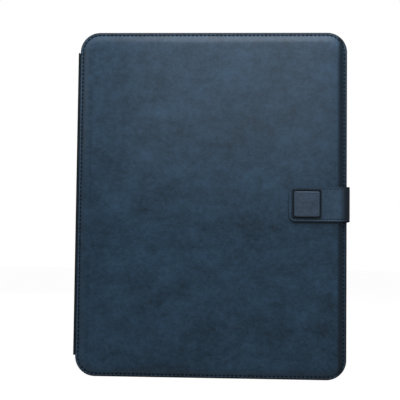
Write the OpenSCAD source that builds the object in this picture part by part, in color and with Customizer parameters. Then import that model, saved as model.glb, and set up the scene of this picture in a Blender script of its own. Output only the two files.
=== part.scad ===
// Folio case for a tablet, with a keyboard in its front cover.
// Millimetres. The closed case stands on its bottom edge: X runs from the spine to the strap,
// Y from the front cover to the rear cover, and Z up. The origin is at the centre of the base.

/* [Tablet] */
// Width of the tablet that the tray holds
tablet_w = 185.7; // [182:0.1:187]
// Height of the tablet that the tray holds
tablet_h = 241.2; // [236:0.1:243]
// Thickness of the tablet
tablet_t = 9.4; // [7:0.1:12]
// Corner radius of the tablet
tablet_r = 12; // [8:0.5:16]
// Play around the tablet on every side
tablet_play = 0.3; // [0.2:0.1:0.6]

/* [Covers] */
// Margin of a cover past the tray, at the spine and at the open edge
side_margin = 3.25; // [3:0.05:8]
// Margin of a cover past the tray, at its top and bottom
end_margin = 3.5; // [2.5:0.1:8]
// Corner radius of a cover
corner_r = 14.5; // [12:0.5:18]
// Thickness of the outer leather
leather_t = 1.2; // [0.9:0.1:1.6]
// Thickness of the suede lining
lining_t = 0.8; // [0.5:0.1:1]
// Gap at the seam between the two panels of the front cover's lining
lining_seam = 0.1; // [0.05:0.05:0.5]
// Thickness of the stiffening board in the front cover
board_t = 1.4; // [1:0.1:2]
// Thickness of the foam over that board
padding_t = 0.8; // [0.7:0.1:1.6]
// Thickness of the stiffening board in the rear cover
rear_board_t = 1.8; // [1.6:0.1:2.4]
// Width of the thin sewn border round every panel
border_w = 3; // [2.5:0.1:4]
// Width of the slope from that border up to the padded face
slope_w = 5; // [3:0.5:7]

/* [Spine] */
// How far the spine stands out past the edges of the covers
spine_out = 1.8; // [1.6:0.1:2.6]
// How far the spine stops short of the top and bottom of the covers
spine_short = 15; // [15:0.5:20]
// Thickness of the stiffener in the spine
spine_board_t = 1.2; // [0.8:0.1:1.4]
// Thickness of the lining of the spine
spine_lining_t = 0.6; // [0.4:0.1:0.8]
// Diameter of the rolled bead that the covers fold about
fold_bead_d = 1.2; // [1:0.1:1.4]
// Clear gap between a fold's bead and the edge that it meets
fold_gap = 0.3; // [0.25:0.05:0.5]

/* [Strap] */
// Width of the closing strap
strap_w = 25.2; // [22:0.2:32]
// Thickness of the strap
strap_t = 1.4; // [1.2:0.1:1.8]
// Clear gap between the strap and the covers
strap_gap = 0.4; // [0.3:0.1:0.8]
// How far the strap reaches over the front cover
strap_reach = 42; // [38:1:60]
// Corner radius of the strap's end
strap_corner_r = 4.5; // [2:0.5:8]
// Length of the strap's root that is sewn into the rear cover
strap_root_len = 20; // [14:1:30]
// Thickness of that root where it is skived thin
strap_root_t = 0.8; // [0.5:0.1:1]
// Side of the square patch on the strap
patch_size = 18.4; // [15:0.2:20]
// Thickness of the patch
patch_t = 1.8; // [1.2:0.1:2.4]
// Corner radius of the patch
patch_corner_r = 1.4; // [1:0.1:2.5]
// Distance from the strap's end to the patch
patch_margin = 3.8; // [3:0.1:6]
// Side of the closure magnet under the patch
magnet_size = 12; // [8:0.5:14]
// Thickness of the closure magnet
magnet_t = 1; // [0.8:0.1:1.1]
// Thickness of the steel plate that the magnet holds to
keeper_t = 0.6; // [0.4:0.1:0.7]

/* [Stand] */
// Width of the fold-out stand, from its fold to its free edge
stand_w = 80; // [60:1:80]
// Height of the stand
stand_h = 160; // [120:2:176]
// Corner radius of the stand
stand_corner_r = 8; // [5:0.5:14]
// Gap round the stand's three free edges
stand_gap = 0.8; // [0.6:0.1:1.2]
// How far the stand's fold lies to the spine side of the middle
stand_fold_inset = 0; // [0:0.5:4]
// Diameter of the magnets that hold the stand shut
stand_magnet_d = 8; // [6:0.5:10]
// Thickness of those magnets
stand_magnet_t = 1; // [0.8:0.1:1.2]
// Width of the pull tab on the stand
pull_tab_w = 16; // [10:1:24]
// Thickness of the pull tab
pull_tab_t = 1; // [0.8:0.1:1.2]

/* [Tray] */
// Thickness of the tray's back plate
tray_t = 1.4; // [1.2:0.1:2]
// Thickness of the walls of its corner clips
tray_wall = 1.6; // [1.4:0.1:2]
// Length of a corner clip along each side
clip_len = 32; // [26:1:50]
// Thickness of the lip that holds the tablet
lip_t = 1.2; // [1:0.1:1.6]
// How far the lip reaches over the tablet
lip_over = 2.2; // [1.5:0.1:3]
// Thickness of the glue between a corner clip and the tray's plate
clip_bond = 0.05; // [0.03:0.01:0.2]
// Thickness of the soft liner in the tray
liner_t = 0.4; // [0.3:0.1:0.8]
// Inside diameter of the ring round the camera hole
camera_d = 12; // [10:0.5:14]
// Distance from the tablet's top and side to the camera's centre
camera_inset = 13; // [12:0.5:20]
// Wall of the camera ring
camera_wall = 1.2; // [1:0.1:1.6]
// How far the ring's flange reaches over the leather
camera_flange = 1.4; // [1:0.1:2]
// Thickness of that flange
camera_flange_t = 0.5; // [0.4:0.1:0.8]

/* [Keyboard] */
// Distance from one key to the next
key_pitch = 16; // [15:0.1:16.4]
// Gap between neighbouring keycaps
key_gap = 2; // [1.8:0.1:3]
// Height of a keycap
key_h = 2; // [1.8:0.1:2.4]
// How far a key goes down
key_travel = 1.2; // [0.8:0.1:1.3]
// Clear gap between a keycap and the web round it
key_clearance = 0.35; // [0.25:0.05:0.45]
// Depth of the function row, as a share of a key
function_depth = 0.6; // [0.5:0.05:1]
// Margin of the keyboard at its sides
kb_side = 4; // [3:0.5:5]
// Margin of the keyboard in front of the space bar
kb_front = 6; // [5:0.5:10]
// Depth of the raised bar behind the keys
bar_d = 20; // [18:0.5:26]
// Height of the keyboard's deck above the lining
deck_top = 4.2; // [4.2:0.1:4.6]
// Height of the raised bar above the lining
bar_top = 5; // [5:0.1:5.4]
// Wall of the keyboard's mouldings
kb_wall = 1; // [0.9:0.1:1.2]
// Corner radius of the keyboard
kb_r = 6; // [4:0.5:10]
// Distance from the spine edge to the keyboard
kb_from_spine = 12; // [8:1:16]
// Gap left between the keycaps and the tray's lips when shut
closed_gap = 0.8; // [0.6:0.1:2]
// Thickness of the padded palm rest
palm_t = 6.6; // [5:0.1:6.8]
// Margin between the palm rest and the open edge of the cover
palm_margin = 9; // [9:0.5:14]

/* [Hidden] */
$fn = 64;
// Thickness of the sheets that a sloped form is hulled between
film = 0.02;
// Overshoot of a cut past the face that it opens
past = 0.2;

// Colours
navy = [0.19, 0.26, 0.33];
dark_navy = [0.10, 0.14, 0.20];
suede = [0.24, 0.26, 0.29];
card = [0.55, 0.50, 0.42];
foam = [0.80, 0.79, 0.74];
graphite = [0.16, 0.16, 0.17];
keycap_black = [0.07, 0.07, 0.08];
steel = [0.66, 0.67, 0.69];

// Layers of the two covers, counted from the inner face of each
edge_t = lining_t + leather_t;
front_core_t = board_t + padding_t;
front_t = edge_t + front_core_t;
rear_t = edge_t + rear_board_t;

// What lies between the covers
bay_w = tablet_w + 2 * tablet_play;
bay_h = tablet_h + 2 * tablet_play;
bay_r = tablet_r + tablet_play;
tray_depth = tray_t + liner_t + tablet_t + tablet_play + lip_t;
key_proud = 1;
key_top = deck_top + key_proud;
inner_depth = key_top + closed_gap + tray_depth;
cover_w = bay_w + 2 * (tray_wall + side_margin);
cover_h = bay_h + 2 * (tray_wall + end_margin);
liner_inset = 1;

// Depth of the whole case: the patch in front, the camera ring behind
total_d = patch_t + strap_t + strap_gap + front_t + inner_depth + rear_t + camera_flange_t;
front_out = -total_d / 2 + patch_t + strap_t + strap_gap;
front_in = front_out + front_t;
rear_in = front_in + inner_depth;
rear_out = rear_in + rear_t;
mid_z = cover_h / 2;
left_x = -cover_w / 2;
right_x = cover_w / 2;

// Folds: each runs along Z through the middle of a sewn border
bead_r = fold_bead_d / 2;
spine_fold_x = left_x - bead_r - fold_gap;
front_fold_y = front_in - edge_t / 2;
rear_fold_y = rear_in + edge_t / 2;
spine_leather_x = left_x - spine_out;
spine_board_x = spine_leather_x + leather_t;
spine_lining_x = spine_board_x + spine_board_t;
spine_board_inset = 1;
spine_neck_t = 0.8;
web_strip_t = 0.5;
spine_h = cover_h - 2 * spine_short;
strap_fold_x = right_x + strap_gap + strap_t / 2;
tab_out = front_out - strap_gap - strap_t;
tab_fold_y = tab_out + strap_t / 2;
tab_right_x = strap_fold_x - strap_t / 2 - fold_gap;
tab_left_x = right_x - strap_reach;
patch_x = tab_left_x + patch_margin + patch_size / 2;
patch_bevel = 0.6;
magnet_corner_r = 1;
keeper_margin = 0.5;
front_board_play = 0.2;

// Stand: it lies in a window in the rear cover, clear of the tray behind it
stand_lift = 0.3;
stand_bead_r = edge_t / 2;
stand_fold_x = -stand_fold_inset;
stand_fold_y = rear_in + stand_lift + edge_t / 2;
stand_neck = 0.2;
stand_right_x = stand_fold_x - stand_bead_r - stand_neck;
stand_x = stand_right_x - stand_w / 2;
stand_left_x = stand_right_x - stand_w;
stand_board_t = rear_board_t - stand_lift;
window_right_x = stand_fold_x + stand_bead_r + fold_gap;
window_left_x = stand_left_x - stand_gap;
window_w = window_right_x - window_left_x;
window_x = (window_right_x + window_left_x) / 2;
window_h = stand_h + 2 * stand_gap;
window_r = stand_corner_r + stand_gap;
stand_magnet_x = stand_left_x + border_w + slope_w + stand_magnet_d / 2;
stand_magnet_dz = stand_h / 2 - border_w - slope_w - stand_magnet_d;
stand_keeper_t = 0.6;
stand_least_r = 1;
pull_clearance = 0.3;
pull_reach = stand_gap + border_w - pull_clearance;
pull_tab_r = 1.5;

// Camera hole
camera_x = tablet_w / 2 - camera_inset;
camera_z = mid_z + tablet_h / 2 - camera_inset;
camera_play = 0.1;
camera_hole_r = camera_d / 2 + camera_wall + camera_play;

// Keyboard: u runs along its rows, v from the palm rest to the spine, w up from the lining
number_row = [0.75, 1, 1, 1, 1, 1, 1, 1, 1, 1, 1, 1, 1, 1.25];
function_row = [for (i = [0:13]) 1];
upper_row = [1.25, 1, 1, 1, 1, 1, 1, 1, 1, 1, 1, 1, 1, 0.75];
home_row = [1.5, 1, 1, 1, 1, 1, 1, 1, 1, 1, 1, 1, 1.5];
lower_row = [2, 1, 1, 1, 1, 1, 1, 1, 1, 1, 1, 2];
space_row = [1, 1, 1, 1.25, 4.5, 1.25, 1, 1, 1, 1];
// Rows from the space bar to the function keys, with the depth of each in keys
key_rows = [space_row, lower_row, home_row, upper_row, number_row, function_row];
row_depths = [1, 1, 1, 1, 1, function_depth];
up_down_column = 8;
row_units = 14;
field_w = row_units * key_pitch;
field_d = sum_to(row_depths, len(row_depths)) * key_pitch;
kb_w = field_w + 2 * kb_side;
kb_d = kb_front + field_d + bar_d;
kb_x = left_x + kb_from_spine + kb_d;
kb_z = mid_z + kb_w / 2;
base_t = 0.8;
plate_t = 0.5;
membrane_t = 0.3;
web_t = 0.6;
web_sink = 0.2;
web_top = deck_top - web_sink;
half_key_gap = 0.8;
cap_base = key_top - key_h;
cap_taper = 0.5;
cap_r = 1.4;
membrane_top = base_t + plate_t + membrane_t;
dome_gap = 0.1;
dome_base_r = 2.5;
dome_top_r = 1.5;
bar_v = kb_d - bar_d;
bar_mid_v = kb_d - bar_d / 2;
bar_heel = 1;
board_w = 96;
board_d = 11.4;
board_from_bar = 2.2;
board_from_wall = 1;
board_v = bar_v + board_from_bar;
board_thick = 0.8;
chip_side = 6;
chip_t = 1;
chip_pitch = 19;
chip_margin = 3;
// The charging port sits in a notch in the board, just under the top of the bar
port_w = 7.6;
port_d = 5.4;
port_h = 2.6;
port_shell = 0.4;
port_back = 0.8;
port_play = 0.2;
port_v = board_v + board_d / 2;
port_base = bar_top - kb_wall - port_play - port_h;
battery_u = 32;
battery_w = 82;
battery_d = 14;
battery_h = 2.4;
slider_w = 4;
slider_d = 2.2;
slider_travel = 3;
slider_u = 30;
slider_proud = 0.5;
button_r = 2;
button_u = 50;
button_proud = 0.3;
button_travel = 0.4;
control_clearance = 0.3;
lens_r = 0.8;
lens_play = 0.05;
lens_end = 30;
lens_pitch = 8;
lens_us = [for (i = [0:2]) kb_w - lens_end - i * lens_pitch];
screw_r = 0.8;
screw_head_r = 1.5;
screw_head_t = 0.5;
screw_play = 0.05;
screw_len = 2.8;
boss_r = 2;
screw_inset = 4;
screw_front_v = kb_front / 2 + 0.4;
screw_front_us = [kb_r + screw_inset, kb_w / 2, kb_w - kb_r - screw_inset];
bar_screw_inset = 2;
bar_screw_shift = 10;
port_screw_inset = 14;
screw_bar_us = [
    kb_r + bar_screw_inset, kb_w / 2 + bar_screw_shift, kb_w - kb_r - port_screw_inset
];
bumper_r = 2.6;
bumper_taper = 0.4;
bumper_proud = 0.2;
bumper_top = palm_t + bumper_proud;
bumper_edge = 2;
bumper_inset = 14;
bumper_us = [bumper_inset, kb_w - bumper_inset];
palm_gap = 4;
palm_end = 2;
palm_x0 = kb_x + palm_gap;
lining_seam_x = kb_x + palm_gap / 2;
palm_x1 = right_x - palm_margin;
palm_w = palm_x1 - palm_x0;
palm_h = kb_w - 2 * palm_end;
palm_r = 8;
palm_slope = 3;

function sum_to(list, n) = n == 0 ? 0 : list[n - 1] + sum_to(list, n - 1);

// Flat shapes, drawn in X and Z

module round_rect(w, h, r) {
    square([w - 2 * r, h], center = true);
    square([w, h - 2 * r], center = true);
    for (sx = [-1, 1], sz = [-1, 1])
        translate([sx * (w / 2 - r), sz * (h / 2 - r)]) circle(r);
}

module cover_shape(inset = 0) {
    translate([0, mid_z])
        round_rect(cover_w - 2 * inset, cover_h - 2 * inset, corner_r - inset);
}

module window_shape(grow = 0) {
    translate([window_x, mid_z])
        round_rect(window_w + 2 * grow, window_h + 2 * grow, window_r + grow);
}

module stand_shape(inset = 0) {
    translate([stand_x, mid_z])
        round_rect(stand_w - 2 * inset, stand_h - 2 * inset,
                   max(stand_least_r, stand_corner_r - inset));
}

module bay_shape(inset = 0) {
    translate([0, mid_z]) round_rect(bay_w - 2 * inset, bay_h - 2 * inset, bay_r - inset);
}

module strap_end_shape(x0, x1) {
    r = strap_corner_r;
    translate([x0, mid_z - strap_w / 2]) {
        translate([r, 0]) square([x1 - x0 - r, strap_w]);
        translate([0, r]) square([2 * r, strap_w - 2 * r]);
        for (z = [r, strap_w - r]) translate([r, z]) circle(r);
    }
}

// A sheet of its child's shape, from y to y + t
module sheet(y, t) {
    translate([0, y + t, 0]) rotate([90, 0, 0]) linear_extrude(t) children();
}

// A body whose outline changes from child 0 at y0 to child 1 at y1
module slope(y0, y1) {
    step = y1 > y0 ? film : -film;
    hull() {
        sheet(min(y0, y0 + step), film) children(0);
        sheet(min(y1, y1 - step), film) children(1);
    }
}

// Front cover

module front_core(cut = 0) {
    y0 = front_in - lining_t;
    slope(y0, y0 - front_core_t) {
        cover_shape(border_w);
        cover_shape(border_w + slope_w);
    }
    if (cut > 0) sheet(y0 - film, cut + film) cover_shape(border_w);
}

module front_board_shape(grow = 0) {
    inset = border_w + slope_w * board_t / front_core_t + front_board_play;
    sheet(front_in - lining_t - board_t, board_t + grow) cover_shape(inset);
}

module keeper_shape(grow = 0) {
    side = magnet_size + 2 * keeper_margin;
    sheet(front_in - lining_t - board_t - keeper_t, keeper_t + grow)
        translate([patch_x, mid_z]) round_rect(side, side, magnet_corner_r);
}

module front_leather() {
    color(navy) difference() {
        union() {
            sheet(front_in - edge_t, leather_t) cover_shape();
            slope(front_in - edge_t + film, front_out) {
                cover_shape(border_w);
                cover_shape(border_w + slope_w);
            }
        }
        front_core(cut = past);
    }
}

module front_padding() {
    color(foam) difference() {
        front_core();
        front_board_shape(past);
        keeper_shape(past);
    }
}

module front_board() {
    color(card) front_board_shape();
}

// Two panels that meet at a seam between the keyboard and the palm rest
module front_lining() {
    color(suede) sheet(front_in - lining_t, lining_t) difference() {
        cover_shape();
        translate([lining_seam_x - lining_seam / 2, -past]) square([lining_seam, cover_h + 2 * past]);
    }
}

module closure_keeper() {
    color(steel) keeper_shape();
}

// A flexible strip along Z that fills the gap of a fold, from x to x + w
module fold_web(x, w, y, h) {
    translate([x, y - web_strip_t / 2, mid_z - h / 2]) cube([w, web_strip_t, h]);
}

// Spine

// A strip as long as the spine, less short at both ends
module along_spine(x, t, y0, y1, short = 0) {
    translate([x, y0, spine_short + short]) cube([t, y1 - y0, spine_h - 2 * short]);
}

module spine_leather() {
    y0 = front_in + fold_gap;
    y1 = rear_in - fold_gap;
    color(navy) {
        along_spine(spine_leather_x, leather_t, y0, y1);
        neck_x = spine_fold_x - spine_neck_t / 2;
        along_spine(neck_x, spine_neck_t, front_fold_y, y0 + past);
        along_spine(neck_x, spine_neck_t, y1 - past, rear_fold_y);
        for (y = [front_fold_y, rear_fold_y])
            translate([spine_fold_x, y, spine_short]) cylinder(h = spine_h, r = bead_r);
    }
}

module spine_layer(x, t) {
    along_spine(x, t, front_in + spine_board_inset, rear_in - spine_board_inset,
                short = spine_board_inset);
}

module spine_board() {
    color(card) spine_layer(spine_board_x, spine_board_t);
}

module spine_lining() {
    color(suede) spine_layer(spine_lining_x, spine_lining_t);
}

module spine_fold_webs() {
    color(dark_navy)
        for (y = [front_fold_y, rear_fold_y]) fold_web(left_x - fold_gap, fold_gap, y, spine_h);
}

// Rear cover

module rear_core(cut = 0) {
    y0 = rear_in + lining_t;
    difference() {
        union() {
            slope(y0, y0 + rear_board_t) {
                cover_shape(border_w);
                cover_shape(border_w + slope_w);
            }
            if (cut > 0) sheet(y0 - cut, cut + film) cover_shape(border_w);
        }
        window_valley(y0);
        sheet(y0 - cut - past, cut + 2 * past) window_shape(border_w);
    }
}

// The sunk sewn border round the stand's window, to be cut from the level y0 outwards
module window_valley(y0) {
    slope(y0, y0 + rear_board_t) {
        window_shape(border_w);
        window_shape(border_w + slope_w);
    }
    sheet(y0 + rear_board_t - film, past) window_shape(border_w + slope_w);
}

module camera_cut() {
    translate([camera_x, rear_in - past, camera_z]) rotate([-90, 0, 0])
        cylinder(h = rear_t + 2 * past, r = camera_hole_r);
}

module strap_root_shape() {
    sheet(rear_in + lining_t, strap_root_t)
        translate([right_x - strap_root_len / 2, mid_z])
            square([strap_root_len, strap_w], center = true);
}

module rear_leather() {
    color(navy) difference() {
        union() {
            sheet(rear_in + lining_t, leather_t) cover_shape();
            slope(rear_in + edge_t - film, rear_out) {
                cover_shape(border_w);
                cover_shape(border_w + slope_w);
            }
        }
        window_valley(rear_in + edge_t);
        sheet(rear_in, rear_t) window_shape();
        rear_core(cut = past);
        camera_cut();
        strap_root_shape();
    }
}

module rear_board() {
    color(card) difference() {
        rear_core();
        camera_cut();
        strap_root_shape();
    }
}

module rear_lining() {
    color(suede) difference() {
        sheet(rear_in, lining_t) cover_shape();
        sheet(rear_in - past, lining_t + 2 * past) window_shape();
        camera_cut();
    }
}

module camera_ring() {
    bore_r = camera_d / 2;
    tube_r = bore_r + camera_wall;
    flange_r = tube_r + camera_flange;
    color(graphite)
        translate([camera_x, rear_in - tray_t, camera_z]) rotate([-90, 0, 0])
            rotate_extrude() {
                translate([bore_r, 0]) square([camera_wall, tray_t + rear_t]);
                translate([bore_r, tray_t + rear_t]) square([flange_r - bore_r, camera_flange_t]);
            }
}

// Tablet tray

module clip_corners() {
    outer_w = bay_w + 2 * tray_wall;
    outer_h = bay_h + 2 * tray_wall;
    for (sx = [-1, 1], sz = [-1, 1])
        translate([sx * (outer_w - clip_len) / 2, mid_z + sz * (outer_h - clip_len) / 2])
            square(clip_len + film, center = true);
}

// A corner clip's wall, or its lip where it reaches in by over
module clip_shape(over = 0) {
    intersection() {
        difference() {
            bay_shape(-tray_wall);
            bay_shape(over);
        }
        clip_corners();
    }
}

// A plate with the four corner clips bonded on it
module tablet_tray() {
    color(graphite) {
        difference() {
            sheet(rear_in - tray_t, tray_t) bay_shape(-tray_wall);
            translate([camera_x, rear_in - tray_t - past, camera_z]) rotate([-90, 0, 0])
                cylinder(h = tray_t + 2 * past, r = camera_hole_r);
            stand_discs(rear_in - stand_keeper_t, stand_keeper_t + past, stand_magnet_d / 2);
        }
        sheet(rear_in - tray_depth, tray_depth - tray_t - clip_bond) clip_shape();
        sheet(rear_in - tray_depth, lip_t) clip_shape(lip_over);
    }
}

module tray_liner() {
    color(suede) difference() {
        sheet(rear_in - tray_t - liner_t, liner_t) bay_shape(liner_inset);
        translate([camera_x, rear_in - tray_t - liner_t - past, camera_z]) rotate([-90, 0, 0])
            cylinder(h = liner_t + 2 * past, r = camera_hole_r);
    }
}

// Two discs where the stand's magnets are, from y to y + t
module stand_discs(y, t, r) {
    for (sz = [-1, 1])
        translate([stand_magnet_x, y, mid_z + sz * stand_magnet_dz]) rotate([-90, 0, 0])
            cylinder(h = t, r = r);
}

module stand_keepers() {
    color(steel) stand_discs(rear_in - stand_keeper_t, stand_keeper_t, stand_magnet_d / 2);
}

// Stand

module stand_core(cut = 0) {
    y0 = rear_in + stand_lift + lining_t;
    slope(y0, y0 + stand_board_t) {
        stand_shape(border_w);
        stand_shape(border_w + slope_w);
    }
    if (cut > 0) sheet(y0 - cut, cut + film) stand_shape(border_w);
}

module stand_leather() {
    y0 = rear_in + stand_lift;
    bead_h = stand_h - 2 * stand_corner_r;
    color(navy) difference() {
        union() {
            sheet(y0 + lining_t, leather_t) stand_shape();
            slope(y0 + edge_t - film, rear_out) {
                stand_shape(border_w);
                stand_shape(border_w + slope_w);
            }
            translate([stand_right_x - film, y0 + lining_t, mid_z - bead_h / 2])
                cube([stand_fold_x - stand_right_x, leather_t, bead_h]);
            translate([stand_fold_x, stand_fold_y, mid_z - bead_h / 2])
                cylinder(h = bead_h, r = stand_bead_r);
        }
        stand_core(cut = past);
    }
}

module stand_board() {
    color(card) difference() {
        stand_core();
        stand_discs(rear_in + stand_lift + lining_t - past, stand_magnet_t + past,
                    stand_magnet_d / 2);
    }
}

module stand_lining() {
    color(suede) sheet(rear_in + stand_lift, lining_t) stand_shape();
}

module stand_magnets() {
    color(steel)
        stand_discs(rear_in + stand_lift + lining_t, stand_magnet_t, stand_magnet_d / 2);
}

module stand_pull_tab() {
    x0 = stand_left_x - pull_reach;
    x1 = stand_left_x + border_w;
    color(dark_navy) sheet(rear_in + stand_lift + edge_t, pull_tab_t)
        translate([(x0 + x1) / 2, mid_z]) round_rect(x1 - x0, pull_tab_w, pull_tab_r);
}

module stand_fold_web() {
    bead_h = stand_h - 2 * stand_corner_r;
    color(dark_navy)
        fold_web(stand_fold_x + stand_bead_r, fold_gap, stand_fold_y, bead_h);
}

// Strap

module strap_root() {
    color(dark_navy) strap_root_shape();
}

module strap_side() {
    color(navy) translate([0, 0, mid_z - strap_w / 2]) {
        translate([strap_fold_x - strap_t / 2, tab_fold_y, 0])
            cube([strap_t, rear_fold_y - tab_fold_y, strap_w]);
        for (y = [tab_fold_y, rear_fold_y])
            translate([strap_fold_x, y, 0]) cylinder(h = strap_w, r = strap_t / 2);
    }
}

module magnet_shape(grow = 0) {
    sheet(tab_out - grow, magnet_t + grow)
        translate([patch_x, mid_z]) round_rect(magnet_size, magnet_size, magnet_corner_r);
}

module strap_tab() {
    color(navy) difference() {
        sheet(tab_out, strap_t) strap_end_shape(tab_left_x, tab_right_x);
        magnet_shape(past);
    }
}

module strap_patch() {
    color(navy) translate([patch_x, 0, mid_z]) {
        sheet(tab_out - patch_t + patch_bevel, patch_t - patch_bevel)
            round_rect(patch_size, patch_size, patch_corner_r);
        slope(tab_out - patch_t + patch_bevel + film, tab_out - patch_t) {
            round_rect(patch_size, patch_size, patch_corner_r);
            round_rect(patch_size - 2 * patch_bevel, patch_size - 2 * patch_bevel,
                       patch_corner_r - patch_bevel / 2);
        }
    }
}

module closure_magnet() {
    color(steel) magnet_shape();
}

module strap_fold_webs() {
    color(dark_navy) {
        fold_web(right_x, strap_gap, rear_fold_y, strap_w);
        fold_web(tab_right_x, fold_gap, tab_fold_y, strap_w);
    }
}

// Palm rest

module palm_rest() {
    y0 = front_in;
    color(suede) translate([(palm_x0 + palm_x1) / 2, 0, mid_z]) {
        sheet(y0, palm_t - palm_slope / 2) round_rect(palm_w, palm_h, palm_r);
        slope(y0 + palm_t - palm_slope / 2 - film, y0 + palm_t) {
            round_rect(palm_w, palm_h, palm_r);
            round_rect(palm_w - 2 * palm_slope, palm_h - 2 * palm_slope, palm_r - palm_slope);
        }
    }
}

// Keyboard

// Places what is drawn in u, v and w on the inside of the front cover
module on_front_cover() {
    translate([kb_x, front_in, kb_z]) rotate([0, 90, 90]) children();
}

module kb_outline(inset = 0) {
    translate([kb_w / 2, kb_d / 2])
        round_rect(kb_w - 2 * inset, kb_d - 2 * inset, kb_r - inset);
}

module keyboard_base() {
    color(graphite) on_front_cover() difference() {
        linear_extrude(base_t) kb_outline();
        for (p = screw_places())
            translate([p[0], p[1], -past]) {
                cylinder(h = base_t + 2 * past, r = screw_r + screw_play);
                cylinder(h = screw_head_t + past, r = screw_head_r + screw_play);
            }
    }
}

// Each screw's u and v, and the underside of the moulding over it
function screw_places() = concat(
    [for (u = screw_front_us) [u, screw_front_v, deck_top - kb_wall]],
    [for (u = screw_bar_us) [u, kb_d - boss_r - kb_wall / 2, bar_top - kb_wall]]
);

// The raised bar's profile, drawn in v and w and run along u
module bar_body(inset) {
    floor_w = base_t - (inset > 0 ? past : 0);
    v0 = bar_v + (inset > 0 ? inset + bar_heel : 0);
    v1 = kb_d - inset;
    top = bar_top - inset;
    rise = bar_top - deck_top;
    translate([inset, 0, 0]) rotate([90, 0, 90]) linear_extrude(kb_w - 2 * inset)
        polygon([[v0, floor_w], [v1, floor_w], [v1, top], [v0 + 2 * rise, top],
                 [v0, top - rise]]);
}

module keyboard_deck() {
    color(graphite) on_front_cover() difference() {
        union() {
            difference() {
                union() {
                    translate([0, 0, base_t]) linear_extrude(deck_top - base_t) kb_outline();
                    intersection() {
                        bar_body(0);
                        linear_extrude(bar_top) kb_outline();
                    }
                }
                translate([0, 0, base_t - past])
                    linear_extrude(deck_top - kb_wall - base_t + past) kb_outline(kb_wall);
                intersection() {
                    bar_body(kb_wall);
                    linear_extrude(bar_top) kb_outline(kb_wall);
                }
            }
            for (p = screw_places())
                translate([p[0], p[1], base_t])
                    cylinder(h = p[2] - base_t + kb_wall / 2, r = boss_r);
        }
        translate([kb_side, kb_front, base_t]) cube([field_w, field_d, deck_top]);
        for (p = screw_places())
            translate([p[0], p[1], base_t - past])
                cylinder(h = screw_len - base_t + 2 * past, r = screw_r + screw_play);
        translate([kb_w - kb_wall - past, port_v - port_w / 2 - port_play, port_base - port_play])
            cube([kb_wall + 2 * past, port_w + 2 * port_play, port_h + 2 * port_play]);
        translate([slider_u - slider_w / 2 - control_clearance,
                   bar_mid_v - slider_d / 2 - control_clearance, bar_top - kb_wall - past])
            cube([slider_w + slider_travel + 2 * control_clearance,
                  slider_d + 2 * control_clearance, kb_wall + 2 * past]);
        translate([button_u, bar_mid_v, bar_top - kb_wall - past])
            cylinder(h = kb_wall + 2 * past, r = button_r + control_clearance);
        for (u = lens_us)
            translate([u, bar_mid_v, bar_top - kb_wall - past])
                cylinder(h = kb_wall + 2 * past, r = lens_r + lens_play);
    }
}

// Runs its children at the middle of keys first to last of a row, with $key_w and $key_d set
module at_keys(row, first, last) {
    widths = key_rows[row];
    depth = row_depths[row] * key_pitch;
    v = kb_front + sum_to(row_depths, row) * key_pitch + depth / 2;
    for (i = [first:last]) {
        u = kb_side + (sum_to(widths, i) + widths[i] / 2) * key_pitch;
        $key_w = widths[i] * key_pitch - key_gap;
        $key_d = depth - key_gap;
        translate([u, v, 0]) children();
    }
}

module every_key() {
    for (row = [0:len(key_rows) - 1])
        at_keys(row, 0, len(key_rows[row]) - 1) children();
}

// One keycap: straight rounded corners, with all four sides drawn in towards the top
module keycap(w, d) {
    translate([0, 0, cap_base]) intersection() {
        linear_extrude(key_h) round_rect(w, d, cap_r);
        rotate([90, 0, 0]) linear_extrude(d + 2, center = true) cap_profile(w);
        rotate([90, 0, 90]) linear_extrude(w + 2, center = true) cap_profile(d);
    }
}

module cap_profile(w) {
    polygon([[-w / 2, 0], [w / 2, 0], [w / 2 - cap_taper, key_h], [-w / 2 + cap_taper, key_h]]);
}

module keys(row, first, last) {
    color(keycap_black) on_front_cover() at_keys(row, first, last) keycap($key_w, $key_d);
}

module modifier_keys() {
    keys(0, 0, 3);
    keys(0, 5, 6);
}

// The two half-depth arrow keys that share one place: side is 1 for up and -1 for down
module half_key(side) {
    color(keycap_black) on_front_cover() at_keys(0, up_down_column, up_down_column) {
        half_d = ($key_d - half_key_gap) / 2;
        translate([0, side * (half_d + half_key_gap) / 2, 0]) keycap($key_w, half_d);
    }
}

module key_web() {
    color(graphite) on_front_cover() translate([0, 0, web_top - web_t])
        linear_extrude(web_t) difference() {
            translate([kb_side, kb_front]) square([field_w, field_d]);
            every_key()
                round_rect($key_w + 2 * key_clearance, $key_d + 2 * key_clearance,
                           cap_r + key_clearance);
        }
}

module switch_plate() {
    color(steel) on_front_cover() translate([kb_side, kb_front, base_t])
        cube([field_w, field_d, plate_t]);
}

module switch_membrane() {
    color([0.75, 0.78, 0.72]) on_front_cover()
        translate([kb_side, kb_front, base_t + plate_t]) cube([field_w, field_d, membrane_t]);
}

module dome() {
    cylinder(h = cap_base - dome_gap - membrane_top, r1 = dome_base_r, r2 = dome_top_r);
}

module rubber_domes() {
    color([0.85, 0.85, 0.82]) on_front_cover() translate([0, 0, membrane_top]) {
        for (row = [1:len(key_rows) - 1]) at_keys(row, 0, len(key_rows[row]) - 1) dome();
        for (span = [[0, up_down_column - 1], [up_down_column + 1, len(space_row) - 1]])
            at_keys(0, span[0], span[1]) dome();
        at_keys(0, up_down_column, up_down_column)
            for (side = [-1, 1])
                translate([0, side * ($key_d + half_key_gap) / 4, 0]) dome();
    }
}

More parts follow.
